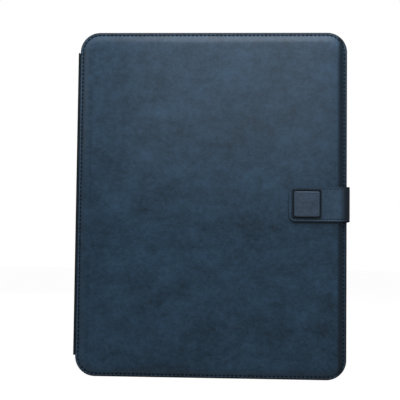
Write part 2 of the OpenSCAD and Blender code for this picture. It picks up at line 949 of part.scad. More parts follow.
module controller_board() {
    board_u = kb_w - kb_wall - board_from_wall - board_w;
    color([0.10, 0.32, 0.20]) on_front_cover() difference() {
        translate([board_u, board_v, base_t]) {
            cube([board_w, board_d, board_thick]);
            for (i = [1:3])
                translate([i * chip_pitch, chip_margin, 0])
                    cube([chip_side, chip_side, board_thick + chip_t]);
        }
        translate([kb_w - port_d - port_play, port_v - port_w / 2 - port_play, base_t - past])
            cube([port_d, port_w + 2 * port_play, board_thick + 2 * past]);
    }
}

module battery() {
    color([0.72, 0.74, 0.76]) on_front_cover()
        translate([battery_u, bar_mid_v - battery_d / 2, base_t])
            cube([battery_w, battery_d, battery_h]);
}

module charge_port() {
    color(steel) on_front_cover()
        translate([kb_w - port_d, port_v - port_w / 2, port_base]) difference() {
            cube([port_d, port_w, port_h]);
            translate([port_back, port_shell, port_shell])
                cube([port_d, port_w - 2 * port_shell, port_h - 2 * port_shell]);
        }
}

module indicator_lenses() {
    color([0.80, 0.90, 0.95]) on_front_cover()
        for (u = lens_us)
            translate([u, bar_mid_v, bar_top - kb_wall])
                cylinder(h = kb_wall, r = lens_r);
}

module case_screws() {
    color(steel) on_front_cover()
        for (p = screw_places())
            translate([p[0], p[1], 0]) {
                cylinder(h = screw_len, r = screw_r);
                cylinder(h = screw_head_t, r = screw_head_r);
            }
}

module screen_bumpers() {
    color(keycap_black) on_front_cover()
        for (u = bumper_us)
            translate([u, kb_d - bumper_r - bumper_edge, bar_top])
                cylinder(h = bumper_top - bar_top, r1 = bumper_r, r2 = bumper_r - bumper_taper);
}

module power_slider() {
    color(graphite) on_front_cover()
        translate([slider_u - slider_w / 2, bar_mid_v - slider_d / 2, bar_top - kb_wall])
            cube([slider_w, slider_d, kb_wall + slider_proud]);
}

module pairing_button() {
    color(graphite) on_front_cover()
        translate([button_u, bar_mid_v, bar_top - kb_wall])
            cylinder(h = kb_wall + button_proud, r = button_r);
}

// Each line shows one node

front_leather();
front_padding();
front_board();
front_lining();
closure_keeper();
spine_leather();
spine_board();
spine_lining();
spine_fold_webs();
rear_leather();
rear_board();
rear_lining();
camera_ring();
tablet_tray();
tray_liner();
stand_keepers();
stand_leather();
stand_board();
stand_lining();
stand_magnets();
stand_pull_tab();
stand_fold_web();
strap_root();
strap_side();
strap_tab();
strap_patch();
closure_magnet();
strap_fold_webs();
palm_rest();
keyboard_base();
keyboard_deck();
key_web();
switch_plate();
switch_membrane();
rubber_domes();
controller_board();
battery();
charge_port();
indicator_lenses();
case_screws();
screen_bumpers();
power_slider();
pairing_button();
keys(5, 0, 13);  // function_keys
keys(4, 0, 12);  // number_keys
keys(4, 13, 13);  // backspace_key
keys(3, 0, 0);  // tab_key
keys(3, 1, 13);  // upper_letter_keys
keys(2, 0, 0);  // caps_lock_key
keys(2, 1, 11);  // home_letter_keys
keys(2, 12, 12);  // enter_key
keys(1, 0, 0);  // left_shift_key
keys(1, 1, 10);  // lower_letter_keys
keys(1, 11, 11);  // right_shift_key
modifier_keys();
keys(0, 4, 4);  // space_bar
keys(0, 7, 7);  // left_arrow_key
half_key(1);  // up_arrow_key
half_key(-1);  // down_arrow_key
keys(0, 9, 9);  // right_arrow_key
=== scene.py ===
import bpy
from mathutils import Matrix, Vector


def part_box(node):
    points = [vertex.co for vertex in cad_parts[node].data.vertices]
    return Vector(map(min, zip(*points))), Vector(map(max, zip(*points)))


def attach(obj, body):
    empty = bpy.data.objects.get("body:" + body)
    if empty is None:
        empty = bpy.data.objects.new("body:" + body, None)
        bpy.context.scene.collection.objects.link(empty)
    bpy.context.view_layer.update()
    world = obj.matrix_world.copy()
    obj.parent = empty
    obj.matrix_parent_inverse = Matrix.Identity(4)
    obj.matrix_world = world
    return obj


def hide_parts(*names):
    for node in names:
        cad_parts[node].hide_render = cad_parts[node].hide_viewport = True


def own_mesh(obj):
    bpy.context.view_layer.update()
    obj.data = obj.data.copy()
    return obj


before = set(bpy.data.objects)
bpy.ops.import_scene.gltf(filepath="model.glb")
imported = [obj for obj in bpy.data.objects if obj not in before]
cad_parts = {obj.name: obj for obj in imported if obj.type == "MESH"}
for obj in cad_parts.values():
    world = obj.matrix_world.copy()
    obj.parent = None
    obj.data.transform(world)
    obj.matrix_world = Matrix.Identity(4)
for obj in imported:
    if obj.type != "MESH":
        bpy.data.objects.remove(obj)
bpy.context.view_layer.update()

import math

import bmesh
import bpy
import numpy as np
from mathutils import Matrix, Vector, noise
from mathutils.geometry import delaunay_2d_cdt

# Sizes are in millimetres in the frame's own axes: X from the spine to the strap, Y from the
# front cover to the rear cover, and Z up. MM turns them into metres.
MM = 0.001

COVER_W, COVER_H, CORNER_R = 196.0, 252.0, 14.5
MID_Z = COVER_H / 2
RIGHT_X = COVER_W / 2
FRONT_IN, FRONT_OUT = -7.6, -11.8
REAR_IN, REAR_OUT = 11.1, 14.9
FRONT_T = FRONT_IN - FRONT_OUT
REAR_T = REAR_OUT - REAR_IN
EDGE_T = 2.0            # leather and lining at the sewn border
BORDER_W, SLOPE_W = 3.0, 5.0
STITCH_INSET, STITCH_PITCH = 2.0, 3.0

SPINE_FOLD_X, FRONT_FOLD_Y, REAR_FOLD_Y = -98.9, -8.6, 12.1
SPINE_OUT_X, SPINE_T = -99.8, 1.2
SPINE_Z0, SPINE_Z1 = 15.0, 237.0
BEAD_R = 0.6

STAND_FOLD_X, STAND_FOLD_Y = 0.0, 12.4
STAND_W, STAND_H, STAND_R = 80.0, 160.0, 8.0
STAND_RIGHT_X = -1.2
STAND_X = STAND_RIGHT_X - STAND_W / 2
STAND_LIFT, STAND_BEAD_R = 0.3, 1.0
WINDOW_X0, WINDOW_X1, WINDOW_H, WINDOW_R = -82.0, 1.3, 161.6, 8.8
CAMERA_X, CAMERA_Z, CAMERA_R = 79.85, 233.6, 7.3

STRAP_W, STRAP_T = 25.2, 1.4
STRAP_FOLD_X = 99.1
TAB_OUT, TAB_LEFT_X = -13.6, 56.0
TAB_END_R, TAB_ROOT_R = 4.5, 0.32
TAB_FOLD_Y = TAB_OUT + STRAP_T / 2
TAB_ROLL = 5.0          # length over which the tab's face rounds off into its fold
SEAM_INSET = 1.6        # of the tab's stitches, from its edge
PATCH_X, PATCH_SIDE, PATCH_R, PATCH_T, PATCH_OUT = 69.0, 18.4, 1.4, 1.8, -15.4
CREASE_X = -88.9        # where painted shade marks the faint fold that the front cover has beside the spine
STRAP_SHADOW_Z = MID_Z - STRAP_W / 2 - 0.5    # where the painted shadow under the strap's lower edge lies on the cover

PALM_X, PALM_W, PALM_H, PALM_R, WELT_H = 61.3, 55.4, 228.0, 8.0, 4.62
TRAY_IN, TRAY_W, TRAY_H, TRAY_R = 9.3, 184.3, 239.8, 11.3
KB_X, KB_Z = 29.6, 242.0
KEY_PITCH, KEY_SIDE, KEY_FRONT, KEY_TOP = 16.0, 4.0, 6.0, 5.2
# Heights over the front cover's inner face, and how far the slider is from the palm rest's side
DOME_FOOT, BAR_TOP, SLIDER_V = 1.6, 5.0, 105.6
ARROW_SHIFT = 3.7       # of the half-height arrow keys, from the middle of their row


# ---------------------------------------------------------------- outlines and meshes

def smooth_step(t):
    t = min(1.0, max(0.0, t))
    return t * t * (3 - 2 * t)


def arc(cx, cy, r, start, end, count):
    """Points on an arc, its angles in degrees."""
    return [(cx + r * math.cos(math.radians(start + (end - start) * k / count)),
             cy + r * math.sin(math.radians(start + (end - start) * k / count)))
            for k in range(count + 1)]


class Outline:
    """A rounded rectangle in X and Z. Its rings at any inset have matching points.

    radii holds the corner radii at the top right, top left, bottom left and bottom right."""

    def __init__(self, cx, cz, w, h, radii, step=1.3):
        self.cx, self.cz, self.hw, self.hh = cx, cz, w / 2, h / 2
        self.radii = radii if isinstance(radii, list) else [radii] * 4
        self.side_counts = [max(1, round((s - 2 * min(self.radii)) / step)) for s in [h, w] * 2]
        self.corner_counts = [max(5, round(math.pi / 2 * r / step)) for r in self.radii]

    def depth(self, x, z):
        """How far a point lies inside the outline, negative outside it. All corners count as
        round as the first."""
        r = self.radii[0]
        qx, qz = abs(x - self.cx) - (self.hw - r), abs(z - self.cz) - (self.hh - r)
        return r - math.hypot(max(qx, 0), max(qz, 0)) - min(max(qx, qz), 0)

    def within(self, inset):
        """How far in a point lies, from a line that far inside the edge, as Build.fill asks."""
        return lambda x, z: self.depth(x, z) - inset

    def ring(self, inset):
        """Points, anticlockwise as the front is seen, that start on the right-hand side."""
        corners = []
        for (sx, sz), r in zip([(1, 1), (-1, 1), (-1, -1), (1, -1)], self.radii):
            r_in = max(r - inset, 0.3 if r > 0.5 else 0.2)
            corners.append((sx * (self.hw - inset - r_in), sz * (self.hh - inset - r_in), r_in))
        points = []
        for i in range(4):
            px, pz, pr = corners[i - 1]
            x, z, r = corners[i]
            turn = i * math.pi / 2
            a = (px + pr * math.cos(turn), pz + pr * math.sin(turn))
            b = (x + r * math.cos(turn), z + r * math.sin(turn))
            for k in range(self.side_counts[i]):
                t = k / self.side_counts[i]
                points.append((a[0] + (b[0] - a[0]) * t, a[1] + (b[1] - a[1]) * t))
            for k in range(self.corner_counts[i]):
                angle = turn + math.pi / 2 * k / self.corner_counts[i]
                points.append((x + r * math.cos(angle), z + r * math.sin(angle)))
        return [(self.cx + px, self.cz + pz) for px, pz in points]


class Build:
    """The points and faces of one piece, each point with its distance from the piece's edge."""

    def __init__(self):
        self.points, self.faces, self.insets = [], [], []

    def add(self, point, inset=50.0):
        self.points.append(tuple(point))
        self.insets.append(inset)
        return len(self.points) - 1

    def ring(self, points, inset=50.0):
        return [self.add(p, inset) for p in points]

    def contour(self, outline, inset, y, tag):
        """A ring of the outline at y, a number or y(x, z). tag is the inset to store for it."""
        return self.ring([(x, y(x, z) if callable(y) else y, z)
                          for x, z in outline.ring(inset)], tag)

    def loft(self, rings):
        for a, b in zip(rings, rings[1:]):
            for i in range(len(a)):
                j = (i + 1) % len(a)
                self.faces.append((a[i], a[j], b[j], b[i]))

    def fan(self, ring):
        """Closes a small ring with triangles to its middle."""
        middle = np.mean([self.points[i] for i in ring], axis=0)
        hub = self.add(middle, self.insets[ring[0]])
        n = len(ring)
        self.faces += [(ring[i], ring[(i + 1) % n], hub) for i in range(n)]

    def fill(self, loops, inside, y, spacing):
        """Fills between loops of points with a net at y, a number or y(x, z). inside(x, z) is
        how far in a point lies."""
        index, flat, edges = [], [], []
        for loop in loops:
            first = len(flat)
            for k, i in enumerate(loop):
                index.append(i)
                flat.append((self.points[i][0], self.points[i][2]))
                edges.append((first + k, first + (k + 1) % len(loop)))
        xs, zs = [p[0] for p in flat], [p[1] for p in flat]
        wide, high = max(xs) - min(xs), max(zs) - min(zs)
        rows, columns = max(1, round(high / spacing / 0.87)), max(1, round(wide / spacing))
        for row in range(rows + 1):
            z = min(zs) + high * row / rows
            for column in range(columns + 1):
                x = min(xs) + wide * (column + 0.5 * (row % 2)) / columns
                if inside(x, z) > 0.55 * spacing:
                    index.append(self.add((x, y(x, z) if callable(y) else y, z)))
                    flat.append((x, z))
        vectors, _, triangles, origins, _, _ = delaunay_2d_cdt(
            [Vector(p) for p in flat], edges, [], 0, 1e-6)
        for t in triangles:
            cx = sum(vectors[i].x for i in t) / len(t)
            cz = sum(vectors[i].y for i in t) / len(t)
            if inside(cx, cz) > 0:
                self.faces.append(tuple(index[origins[i][0]] for i in t))

    def run(self, section, z0, z1, ease=0.2, end_share=0.94):
        """Runs a closed section in X and Y along Z, and draws its ends in to soften them."""
        centre = np.mean(section, axis=0)
        rings = []
        for z, share in [(z0, end_share), (z0 + ease, 1.0), (z1 - ease, 1.0), (z1, end_share)]:
            rings.append(self.ring([
                (centre[0] + (x - centre[0]) * share, centre[1] + (y - centre[1]) * share, z)
                for x, y in section], 1.0))
        self.loft(rings)
        self.fan(rings[0])
        self.fan(rings[-1])

    def move(self, change):
        self.points = [tuple(change(*p)) for p in self.points]

    def piece(self, name, finish, body, slot, *nodes, crease=40):
        """The finished piece, in metres, with its faces outwards."""
        mesh = bpy.data.meshes.new(name)
        mesh.from_pydata([[c * MM for c in p] for p in self.points], [], self.faces)
        mesh.attributes.new("inset", "FLOAT", "POINT").data.foreach_set("value", self.insets)
        work = bmesh.new()
        work.from_mesh(mesh)
        bmesh.ops.recalc_face_normals(work, faces=work.faces)
        work.to_mesh(mesh)
        work.free()
        return fit(show(name, mesh, finish, crease), body, slot, *nodes)


def show(name, mesh, finish, crease=40):
    mesh.shade_smooth()
    mesh.set_sharp_from_angle(angle=math.radians(crease))
    mesh.materials.clear()
    mesh.materials.append(finish)
    piece = bpy.data.objects.new(name, mesh)
    bpy.context.scene.collection.objects.link(piece)
    return piece


def fit(piece, body, slot, *nodes):
    """The piece rides on a body and stands for nodes. slot is not used."""
    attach(piece, body)
    if nodes:
        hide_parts(*nodes)
    return piece


# ---------------------------------------------------------------- finishes

class Value:
    """A node's socket that can be added, multiplied and so on."""

    def __init__(self, nodes, socket):
        self.nodes, self.socket = nodes, socket

    def beside(self, name):
        """Another output of the same node."""
        return Value(self.nodes, self.socket.node.outputs[name])

    def _math(self, operation, a, b):
        return self.nodes.add("ShaderNodeMath", {"operation": operation}, {0: a, 1: b})

    def __add__(self, other):
        return self._math("ADD", self, other)

    def __sub__(self, other):
        return self._math("SUBTRACT", self, other)

    def __rsub__(self, other):
        return self._math("SUBTRACT", other, self)

    def __mul__(self, other):
        return self._math("MULTIPLY", self, other)

    def __abs__(self):
        return self._math("ABSOLUTE", self, 0.0)

    def larger(self, other):
        return self._math("MAXIMUM", self, other)

    __radd__, __rmul__ = __add__, __mul__


def rgba(colour):
    return colour if isinstance(colour, Value) else (*colour, 1)


class Nodes:
    """A node tree that is filled node by node."""

    def __init__(self, tree):
        self.tree = tree
        tree.nodes.clear()

    def add(self, kind, settings=None, sockets=None, pick=0):
        """Adds a node, sets it up and feeds its sockets, and returns its output called pick."""
        node = self.tree.nodes.new(kind)
        for key, value in (settings or {}).items():
            setattr(node, key, value)
        for key, value in (sockets or {}).items():
            if isinstance(value, Value):
                self.tree.links.new(value.socket, node.inputs[key])
            else:
                node.inputs[key].default_value = value
        return Value(self, node.outputs[pick]) if pick is not None else None


class Finish(Nodes):
    """The nodes of a new material, by its name, or of the world."""

    def __init__(self, owner):
        self.owner = bpy.data.materials.new(owner) if isinstance(owner, str) else owner
        self.owner.use_nodes = True
        super().__init__(self.owner.node_tree)

    def place(self):
        return self.add("ShaderNodeTexCoord", pick="Object")

    def along(self, axis):
        """One coordinate of the piece, in metres."""
        return self.add("ShaderNodeSeparateXYZ", {}, {0: self.place()}, axis)

    def clouds(self, scale, detail=4.0, rough=0.5, stretch=None):
        at = self.place()
        if stretch:
            at = self.add("ShaderNodeMapping", {}, {"Vector": at, "Scale": stretch})
        return self.add("ShaderNodeTexNoise", {}, {
            "Vector": at, "Scale": scale, "Detail": detail, "Roughness": rough})

    def cells(self, scale):
        return self.add("ShaderNodeTexVoronoi", {}, {
            "Vector": self.place(), "Scale": scale}, "Distance")

    def ramp(self, value, low, high):
        """0 where value is at low or under, 1 at high or over, and smooth between."""
        return self.add("ShaderNodeMapRange", {"interpolation_type": "SMOOTHSTEP"}, {
            "Value": value, "From Min": low, "From Max": high})

    def band(self, value, start, full, fade, end):
        """1 where value is between full and fade, and 0 before start and past end."""
        return self.ramp(value, start, full) * (1 - self.ramp(value, fade, end))

    def blend(self, share, a, b):
        """Colour a, changed by share towards b."""
        return self.add("ShaderNodeMix", {"data_type": "RGBA"}, {
            0: share, 6: rgba(a), 7: rgba(b)}, 2)

    def bump(self, height, distance, strength):
        return self.add("ShaderNodeBump", {}, {
            "Height": height, "Distance": distance, "Strength": strength})

    def output(self, shader):
        """Ends a material in its shader."""
        self.add("ShaderNodeOutputMaterial", {}, {"Surface": shader}, None)
        return self.owner

    def surface(self, colour, roughness, normal, **fixed):
        """Ends the material in a Principled BSDF. fixed holds plain values of other sockets."""
        sockets = {"Base Color": rgba(colour), "Roughness": roughness, "Normal": normal}
        sockets.update({key.replace("_", " "): value for key, value in fixed.items()})
        return self.output(self.add("ShaderNodeBsdfPrincipled", {}, sockets))


def scaled(colour, factor):
    return tuple(c * factor for c in colour)


NAVY = (0.0150, 0.0360, 0.0620)
STRAP_NAVY = (0.0242, 0.0484, 0.0786)
# The patch's navy is a lighter copy of the leather, painted as if it caught more light.
PATCH_NAVY_LIT = (0.0330, 0.0525, 0.0800)
# The next colour dyes the cut edges, and is also the colour of painted shade in grooves, folds and
# under the strap.
EDGE_DYE_AND_SHADE = (0.0020, 0.0050, 0.0090)
SCUFFED = (0.050, 0.075, 0.105)
# The next colour is rubbed wear on shoulders, and also a painted highlight on rims, on the patch's
# bevel and on the upper shoulder beside the spine.
RUB_AND_HIGHLIGHT = (0.050, 0.079, 0.116)
# The next colour is a painted sheen over the covers' upper half.
SHEEN_PALE = (0.085, 0.106, 0.132)
LEATHER_GLOSS = 0.12    # low, so that the navy stays deep against a white room
# Bands of a sewn border, in millimetres from its edge, for Finish.band
RIM = (0.65, 1.00, 1.25, 1.60)
GROOVE = (1.45, 1.75, 2.25, 2.60)
SHOULDER = (2.6, 3.8, 3.8, 8.5)


def waxed_leather(name, base=NAVY, mottle=1.0, edge=1.0, darken=None, rub_and_highlight=None, sheen_share=None):
    """Leather with a waxy, clouded face, fine pores and darkened edges.

    edge is how much of its cut edge is dyed. The last three arguments, each a function of the
    finish, give the shares from 0 to 1 of painted shade with edge dye, of a shoulder rubbed pale
    and painted as if lit, and of a painted sheen, to add over the rest."""
    f = Finish(name)
    broad = f.clouds(30, 7, 0.97, (1.0, 1.0, 1.3))
    smudge = f.ramp(f.clouds(34, 3, 0.6, (0.8, 0.8, 1.5)), 0.56, 0.76)
    scuff = f.ramp(f.clouds(95, 3, 0.55, (0.45, 0.45, 1.6)), 0.62, 0.80)
    wrinkle = f.clouds(330, 4, 0.65, (1.0, 1.0, 1.35))
    inset = f.add("ShaderNodeAttribute", {"attribute_name": "inset"}, {}, "Fac")
    level = (broad - 0.5) * (2.8 * mottle) + (wrinkle - 0.5) * 0.42 + (0.515 - smudge * 0.10)
    colour = f.blend(level, scaled(base, 0.35), scaled(base, 1.65))
    colour = f.blend(scuff * 0.14, colour, SCUFFED)
    # A painted sheen, where the hook gives one.
    if sheen_share:
        colour = f.blend(sheen_share(f), colour, SHEEN_PALE)
    # A painted highlight along the raised rim, and along the patch's bevel.
    colour = f.blend(f.band(inset, *RIM) * 0.36, colour, RUB_AND_HIGHLIGHT)
    # The shoulder's slope is rubbed pale, and is painted lighter, as if lit, where the hook asks
    # for it.
    shoulder = f.band(inset, *SHOULDER) * (broad * 1.6)
    colour = f.blend(shoulder * (rub_and_highlight(f) if rub_and_highlight else 0.08), colour, RUB_AND_HIGHLIGHT)
    # Painted shade in the stitch groove.
    colour = f.blend(f.band(inset, *GROOVE) * 0.10, colour, EDGE_DYE_AND_SHADE)
    outer = 1 - f.ramp(inset, 0.35, 0.75)
    colour = f.blend(outer * (0.95 * edge), colour, EDGE_DYE_AND_SHADE)
    # Painted shade, and edge dye, where the hook gives them.
    if darken:
        colour = f.blend(darken(f), colour, EDGE_DYE_AND_SHADE)
    height = wrinkle * 0.5 + f.clouds(2600, 2, 0.6) * 0.12 - f.cells(950) * 0.35
    roughness = (broad - 0.5) * 0.42 + wrinkle * 0.10 + 0.38 + outer * 0.5
    return f.surface(colour, roughness, f.bump(height, 0.00022, 0.55),
                     Specular_IOR_Level=LEATHER_GLOSS)


def cover_rub_and_highlight(f):
    """The shoulder is painted lighter, as if lit, in the upper corner beside the spine, and is
    rubbed pale a little elsewhere.
    """
    beside = 1 - f.ramp(f.along(0), -0.086, -0.080)
    return beside * f.ramp(f.along(2), 0.140, 0.200) * 0.55 + 0.14


def cover_sheen(f):
    """A painted sheen, pale over the upper half, and less towards the sides."""
    sides = f.ramp(abs(f.along(0) - 0.012), 0.050, 0.095)
    return f.ramp(f.along(2), 0.090, 0.200) * (0.16 - sides * 0.08)


def cover_shade_and_edge_dye(f):
    """Where a cover is darker, in metres from the frame's origin.

    These are painted shade in the faint fold beside the spine and on the slope at the opening, the
    dyed edges, and a painted shadow on the front under the strap's lower edge."""
    x, y, z = f.along(0), f.along(1), f.along(2)
    broken = f.ramp(f.clouds(14, 2, 0.5, (0.1, 0.1, 1.0)), 0.38, 0.62)
    # Painted shade along the fold.
    fold = ((1 - f.ramp(abs(x - CREASE_X * MM), 0.0002, 0.0010)) * broken
            * (1 - f.ramp(z, 0.185, 0.225)))
    # Painted shade on the slope at the opening's side.
    slope_shade = f.band(x, 0.0903, 0.0932, 0.0950, 0.0957)
    painted = (f.ramp(x, 0.0966, 0.0970).larger(f.ramp(z, 0.2511, 0.2515))
               .larger(1 - f.ramp(z, 0.0010, 0.0014)))
    # A painted shadow under the strap's lower edge, on the front only.
    cast_shadow = ((1 - f.ramp(abs(z - STRAP_SHADOW_Z * MM), 0.0004, 0.0010)) * f.ramp(x, 0.058, 0.061)
               * (1 - f.ramp(y, -0.004, 0.004)))
    return ((fold * 0.30).larger(slope_shade * 0.82)
            .larger(painted * 0.85).larger(cast_shadow * 0.8))


def tab_shade(f):
    """Painted shadow in the line round the raised patch, and painted shade where the tab turns
    down into its fold.
    """
    beside = abs(f.along(0) - PATCH_X * MM).larger(abs(f.along(2) - MID_Z * MM))
    # A painted shadow round the patch.
    cast_shadow = 1 - f.ramp(beside - PATCH_SIDE / 2 * MM, 0.0011, 0.0020)
    # Painted shade as the tab turns down into its fold.
    turning_shade = f.ramp(f.along(0), 0.0915, 0.0975)
    return (cast_shadow * 0.9).larger(turning_shade * 0.94)


def side_shade(f):
    """Painted shade where the strap's side comes out of its front fold."""
    return (1 - f.ramp(f.along(1), -0.0130, -0.0105)) * 0.95


def edge_leather(name, colour, rough=0.5):
    """Dyed and burnished leather, as on folds and edges; the spine's near-black copy is painted
    shade.
    """
    f = Finish(name)
    broad = f.clouds(60, 5, 0.7)
    fine = f.clouds(1500, 3, 0.6)
    tint = f.blend(broad, scaled(colour, 0.6), scaled(colour, 1.5))
    normal = f.bump(fine * 0.6 + f.cells(900) * 0.5, 0.00015, 0.5)
    return f.surface(tint, broad * 0.2 + rough - 0.1, normal, Specular_IOR_Level=LEATHER_GLOSS)


def brushed_suede(name, colour):
    f = Finish(name)
    broad = f.clouds(45, 5, 0.6)
    nap = f.clouds(900, 4, 0.7, (1.0, 1.0, 0.35))
    fibre = f.clouds(5200, 2, 0.5, (1.0, 1.0, 0.2))
    tint = f.blend((broad - 0.5) * 0.7 + (nap - 0.5) * 0.9 + 0.5,
                   scaled(colour, 0.6), scaled(colour, 1.4))
    normal = f.bump(nap * 0.7 + fibre * 0.5, 0.00018, 0.6)
    return f.surface(tint, 0.92, normal, Sheen_Weight=0.35, Sheen_Roughness=0.45)


def moulded(name, colour, rough=0.45, texture=4200, depth=0.00005, **fixed):
    """Moulded plastic or rubber with a fine, even texture."""
    f = Finish(name)
    grain = f.clouds(texture, 2, 0.5)
    wear = f.clouds(70, 4, 0.6)
    tint = f.blend(wear, scaled(colour, 0.82), scaled(colour, 1.2))
    normal = f.bump(grain, depth, 0.5)
    return f.surface(tint, wear * 0.14 + rough - 0.07, normal, **fixed)


def plated_steel(name):
    f = Finish(name)
    lines = f.clouds(1400, 3, 0.6, (1.0, 1.0, 0.03))
    stain = f.clouds(90, 4, 0.6)
    tint = f.blend(stain, (0.52, 0.53, 0.55), (0.68, 0.69, 0.71))
    return f.surface(tint, lines * 0.22 + 0.2, f.bump(lines, 0.00002, 0.4), Metallic=1.0)


def pressed_board(name, colour):
    f = Finish(name)
    fibre = f.clouds(700, 5, 0.7, (1.0, 1.0, 0.4))
    fleck = f.ramp(f.clouds(1600, 2, 0.5), 0.6, 0.72)
    tint = f.blend(fibre, scaled(colour, 0.75), scaled(colour, 1.2))
    tint = f.blend(fleck * 0.5, tint, scaled(colour, 0.4))
    return f.surface(tint, 0.9, f.bump(fibre, 0.0001, 0.5))


def thread(name, colour):
    f = Finish(name)
    ply = f.add("ShaderNodeTexWave", {"bands_direction": "DIAGONAL"}, {
        "Vector": f.place(), "Scale": 900.0, "Distortion": 2.0}, "Fac")
    lint = f.clouds(3000, 3, 0.6)
    tint = f.blend(ply * 0.6 + lint * 0.4, scaled(colour, 0.5), scaled(colour, 1.5))
    return f.surface(tint, 0.7, f.bump(ply, 0.00008, 0.6), Specular_IOR_Level=0.1)


cover_leather = waxed_leather("cover_leather", darken=cover_shade_and_edge_dye, rub_and_highlight=cover_rub_and_highlight,
                              sheen_share=cover_sheen)
tab_leather = waxed_leather("tab_leather", STRAP_NAVY, 0.7, 0.35, tab_shade)
side_leather = waxed_leather("side_leather", STRAP_NAVY, 0.7, 0.6, side_shade)
patch_leather = waxed_leather("patch_leather", PATCH_NAVY_LIT, 0.6)
# The spine's near-black colour is painted shade, as the spine faces away from the light.
spine_shaded = edge_leather("spine_shaded", (0.0022, 0.0036, 0.0056), 0.85)
fold_dye = edge_leather("fold_dye", (0.0055, 0.0100, 0.0160))
suede = brushed_suede("suede", (0.040, 0.046, 0.056))
tray_suede = brushed_suede("tray_suede", (0.034, 0.036, 0.040))
graphite = moulded("graphite", (0.020, 0.021, 0.023), 0.55, Specular_IOR_Level=0.22)
key_black = moulded("key_black", (0.008, 0.008, 0.009), 0.45, 5200, 0.00003,
                    Specular_IOR_Level=0.25)
rubber_black = moulded("rubber_black", (0.012, 0.012, 0.012), 0.75, 2600)
dome_rubber = moulded("dome_rubber", (0.60, 0.60, 0.57), 0.6, 2600)
film = moulded("film", (0.48, 0.52, 0.46), 0.25, 1800)
solder_mask = moulded("solder_mask", (0.012, 0.085, 0.040), 0.3, 2400)
foil = moulded("foil", (0.55, 0.56, 0.58), 0.35, 900, Metallic=0.9)
light_pipe = moulded("light_pipe", (0.55, 0.66, 0.74), 0.12, 1800)
board = pressed_board("board", (0.30, 0.25, 0.19))
foam_sheet = pressed_board("foam_sheet", (0.62, 0.60, 0.54))
steel = plated_steel("steel")
navy_thread = thread("navy_thread", (0.0020, 0.0048, 0.0095))
legend_ink = moulded("legend_ink", (0.62, 0.63, 0.64), 0.6, 3000)

KEY_NODES = [
    "function_keys", "number_keys", "backspace_key", "tab_key", "upper_letter_keys",
    "caps_lock_key", "home_letter_keys", "enter_key", "left_shift_key", "lower_letter_keys",
    "right_shift_key", "modifier_keys", "space_bar", "left_arrow_key", "up_arrow_key",
    "down_arrow_key", "right_arrow_key"]
NODE_FINISHES = {
    spine_shaded: ["spine_fold_webs", "stand_fold_web", "strap_fold_webs", "strap_root",
                "stand_pull_tab", "spine_leather"],
    suede: ["front_lining", "rear_lining", "spine_lining", "stand_lining", "tray_liner"],
    board: ["front_board", "rear_board", "spine_board", "stand_board"],
    foam_sheet: ["front_padding"],
    graphite: ["camera_ring", "tablet_tray", "keyboard_base", "keyboard_deck", "key_web",
               "power_slider", "pairing_button"],
    key_black: KEY_NODES,
    steel: ["closure_keeper", "closure_magnet", "stand_keepers", "stand_magnets",
            "switch_plate", "charge_port", "case_screws"],
    rubber_black: ["screen_bumpers"],
    dome_rubber: ["rubber_domes"],
    film: ["switch_membrane"],
    solder_mask: ["controller_board"],
    foil: ["battery"],
    light_pipe: ["indicator_lenses"],
}
for finish, names in NODE_FINISHES.items():
    for name in names:
        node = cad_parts[name]
        node.data.materials.clear()
        node.data.materials.append(finish)


# ---------------------------------------------------------------- padded covers

def ripple(x, z, seed):
    """The slow rise and fall of leather over foam, in millimetres."""
    slow = noise.noise(Vector((x / 46, seed, z / 46)))
    quick = noise.noise(Vector((x / 17, seed + 5, z / 17)))
    return 0.10 * slow + 0.035 * quick


def border_height(d, rise):
    """Height over the inner face of the cover at a distance d from the edge: a rounded edge, a
    groove for the stitches, and a slope that rises to the padded face."""
    rounding, groove_half, groove_deep = 0.55, 0.62, 0.30
    h = EDGE_T
    if d < rounding:
        h += math.sqrt(rounding ** 2 - (rounding - d) ** 2) - rounding
    off = abs(d - STITCH_INSET)
    if off < groove_half:
        h -= groove_deep * math.cos(math.pi / 2 * off / groove_half) ** 1.2
    t = (d - BORDER_W + 0.2) / (SLOPE_W + 1.2)
    if t > 0:
        h += rise * (1 - (1 - min(t, 1.0)) ** 2.3)
    return h


RING_INSETS = [0.0, 0.07, 0.2, 0.38, 0.6, 0.95, 1.3, 1.5, 1.75, 2.0, 2.25, 2.5, 2.7, 2.95,
               3.3, 3.8, 4.4, 5.1, 5.9, 6.8, 7.6]
FACE_INSET, BACK_INSET, BACK_H = 7.6, 2.4, 0.30
FACE_NET, BACK_NET = 3.2, 12    # spacing of the nets that fill the two sides


def edge_rings(build, outline, inner_y, out, rise, inward, seed):
    """The rings of a sewn border, from its inside face round the edge to the padded face.

    out is -1 for the front and 1 for the rear, and inward is 1 for an outer edge and -1 for the
    edge of a hole."""
    rings = [build.contour(outline, inward * inset, inner_y + out * height, 0.0)
             for inset, height in [(BACK_INSET, BACK_H), (1.0, BACK_H), (0.35, 0.22),
                                   (0.10, 0.32)]]
    for inset in RING_INSETS:
        weight = smooth_step((inset - 3) / 4)
        start = border_height(inset, rise)
        drop = 0.05 if inset == 0 else 0
        rings.append(build.contour(
            outline, inward * inset,
            lambda x, z: inner_y + out * (start + weight * ripple(x, z, seed) - drop), inset))
    build.loft(rings)
    return rings[0], rings[-1]


def padded_cover(outline, inner_y, out, thick, seed):
    """A leather skin: a sewn border all round, a slope, and a padded face inside it."""
    build = Build()
    back, front = edge_rings(build, outline, inner_y, out, thick - EDGE_T, 1, seed)
    build.fill([front], outline.within(FACE_INSET),
               lambda x, z: inner_y + out * (thick + ripple(x, z, seed)), FACE_NET)
    build.fill([back], outline.within(BACK_INSET), inner_y + out * BACK_H, BACK_NET)
    return build


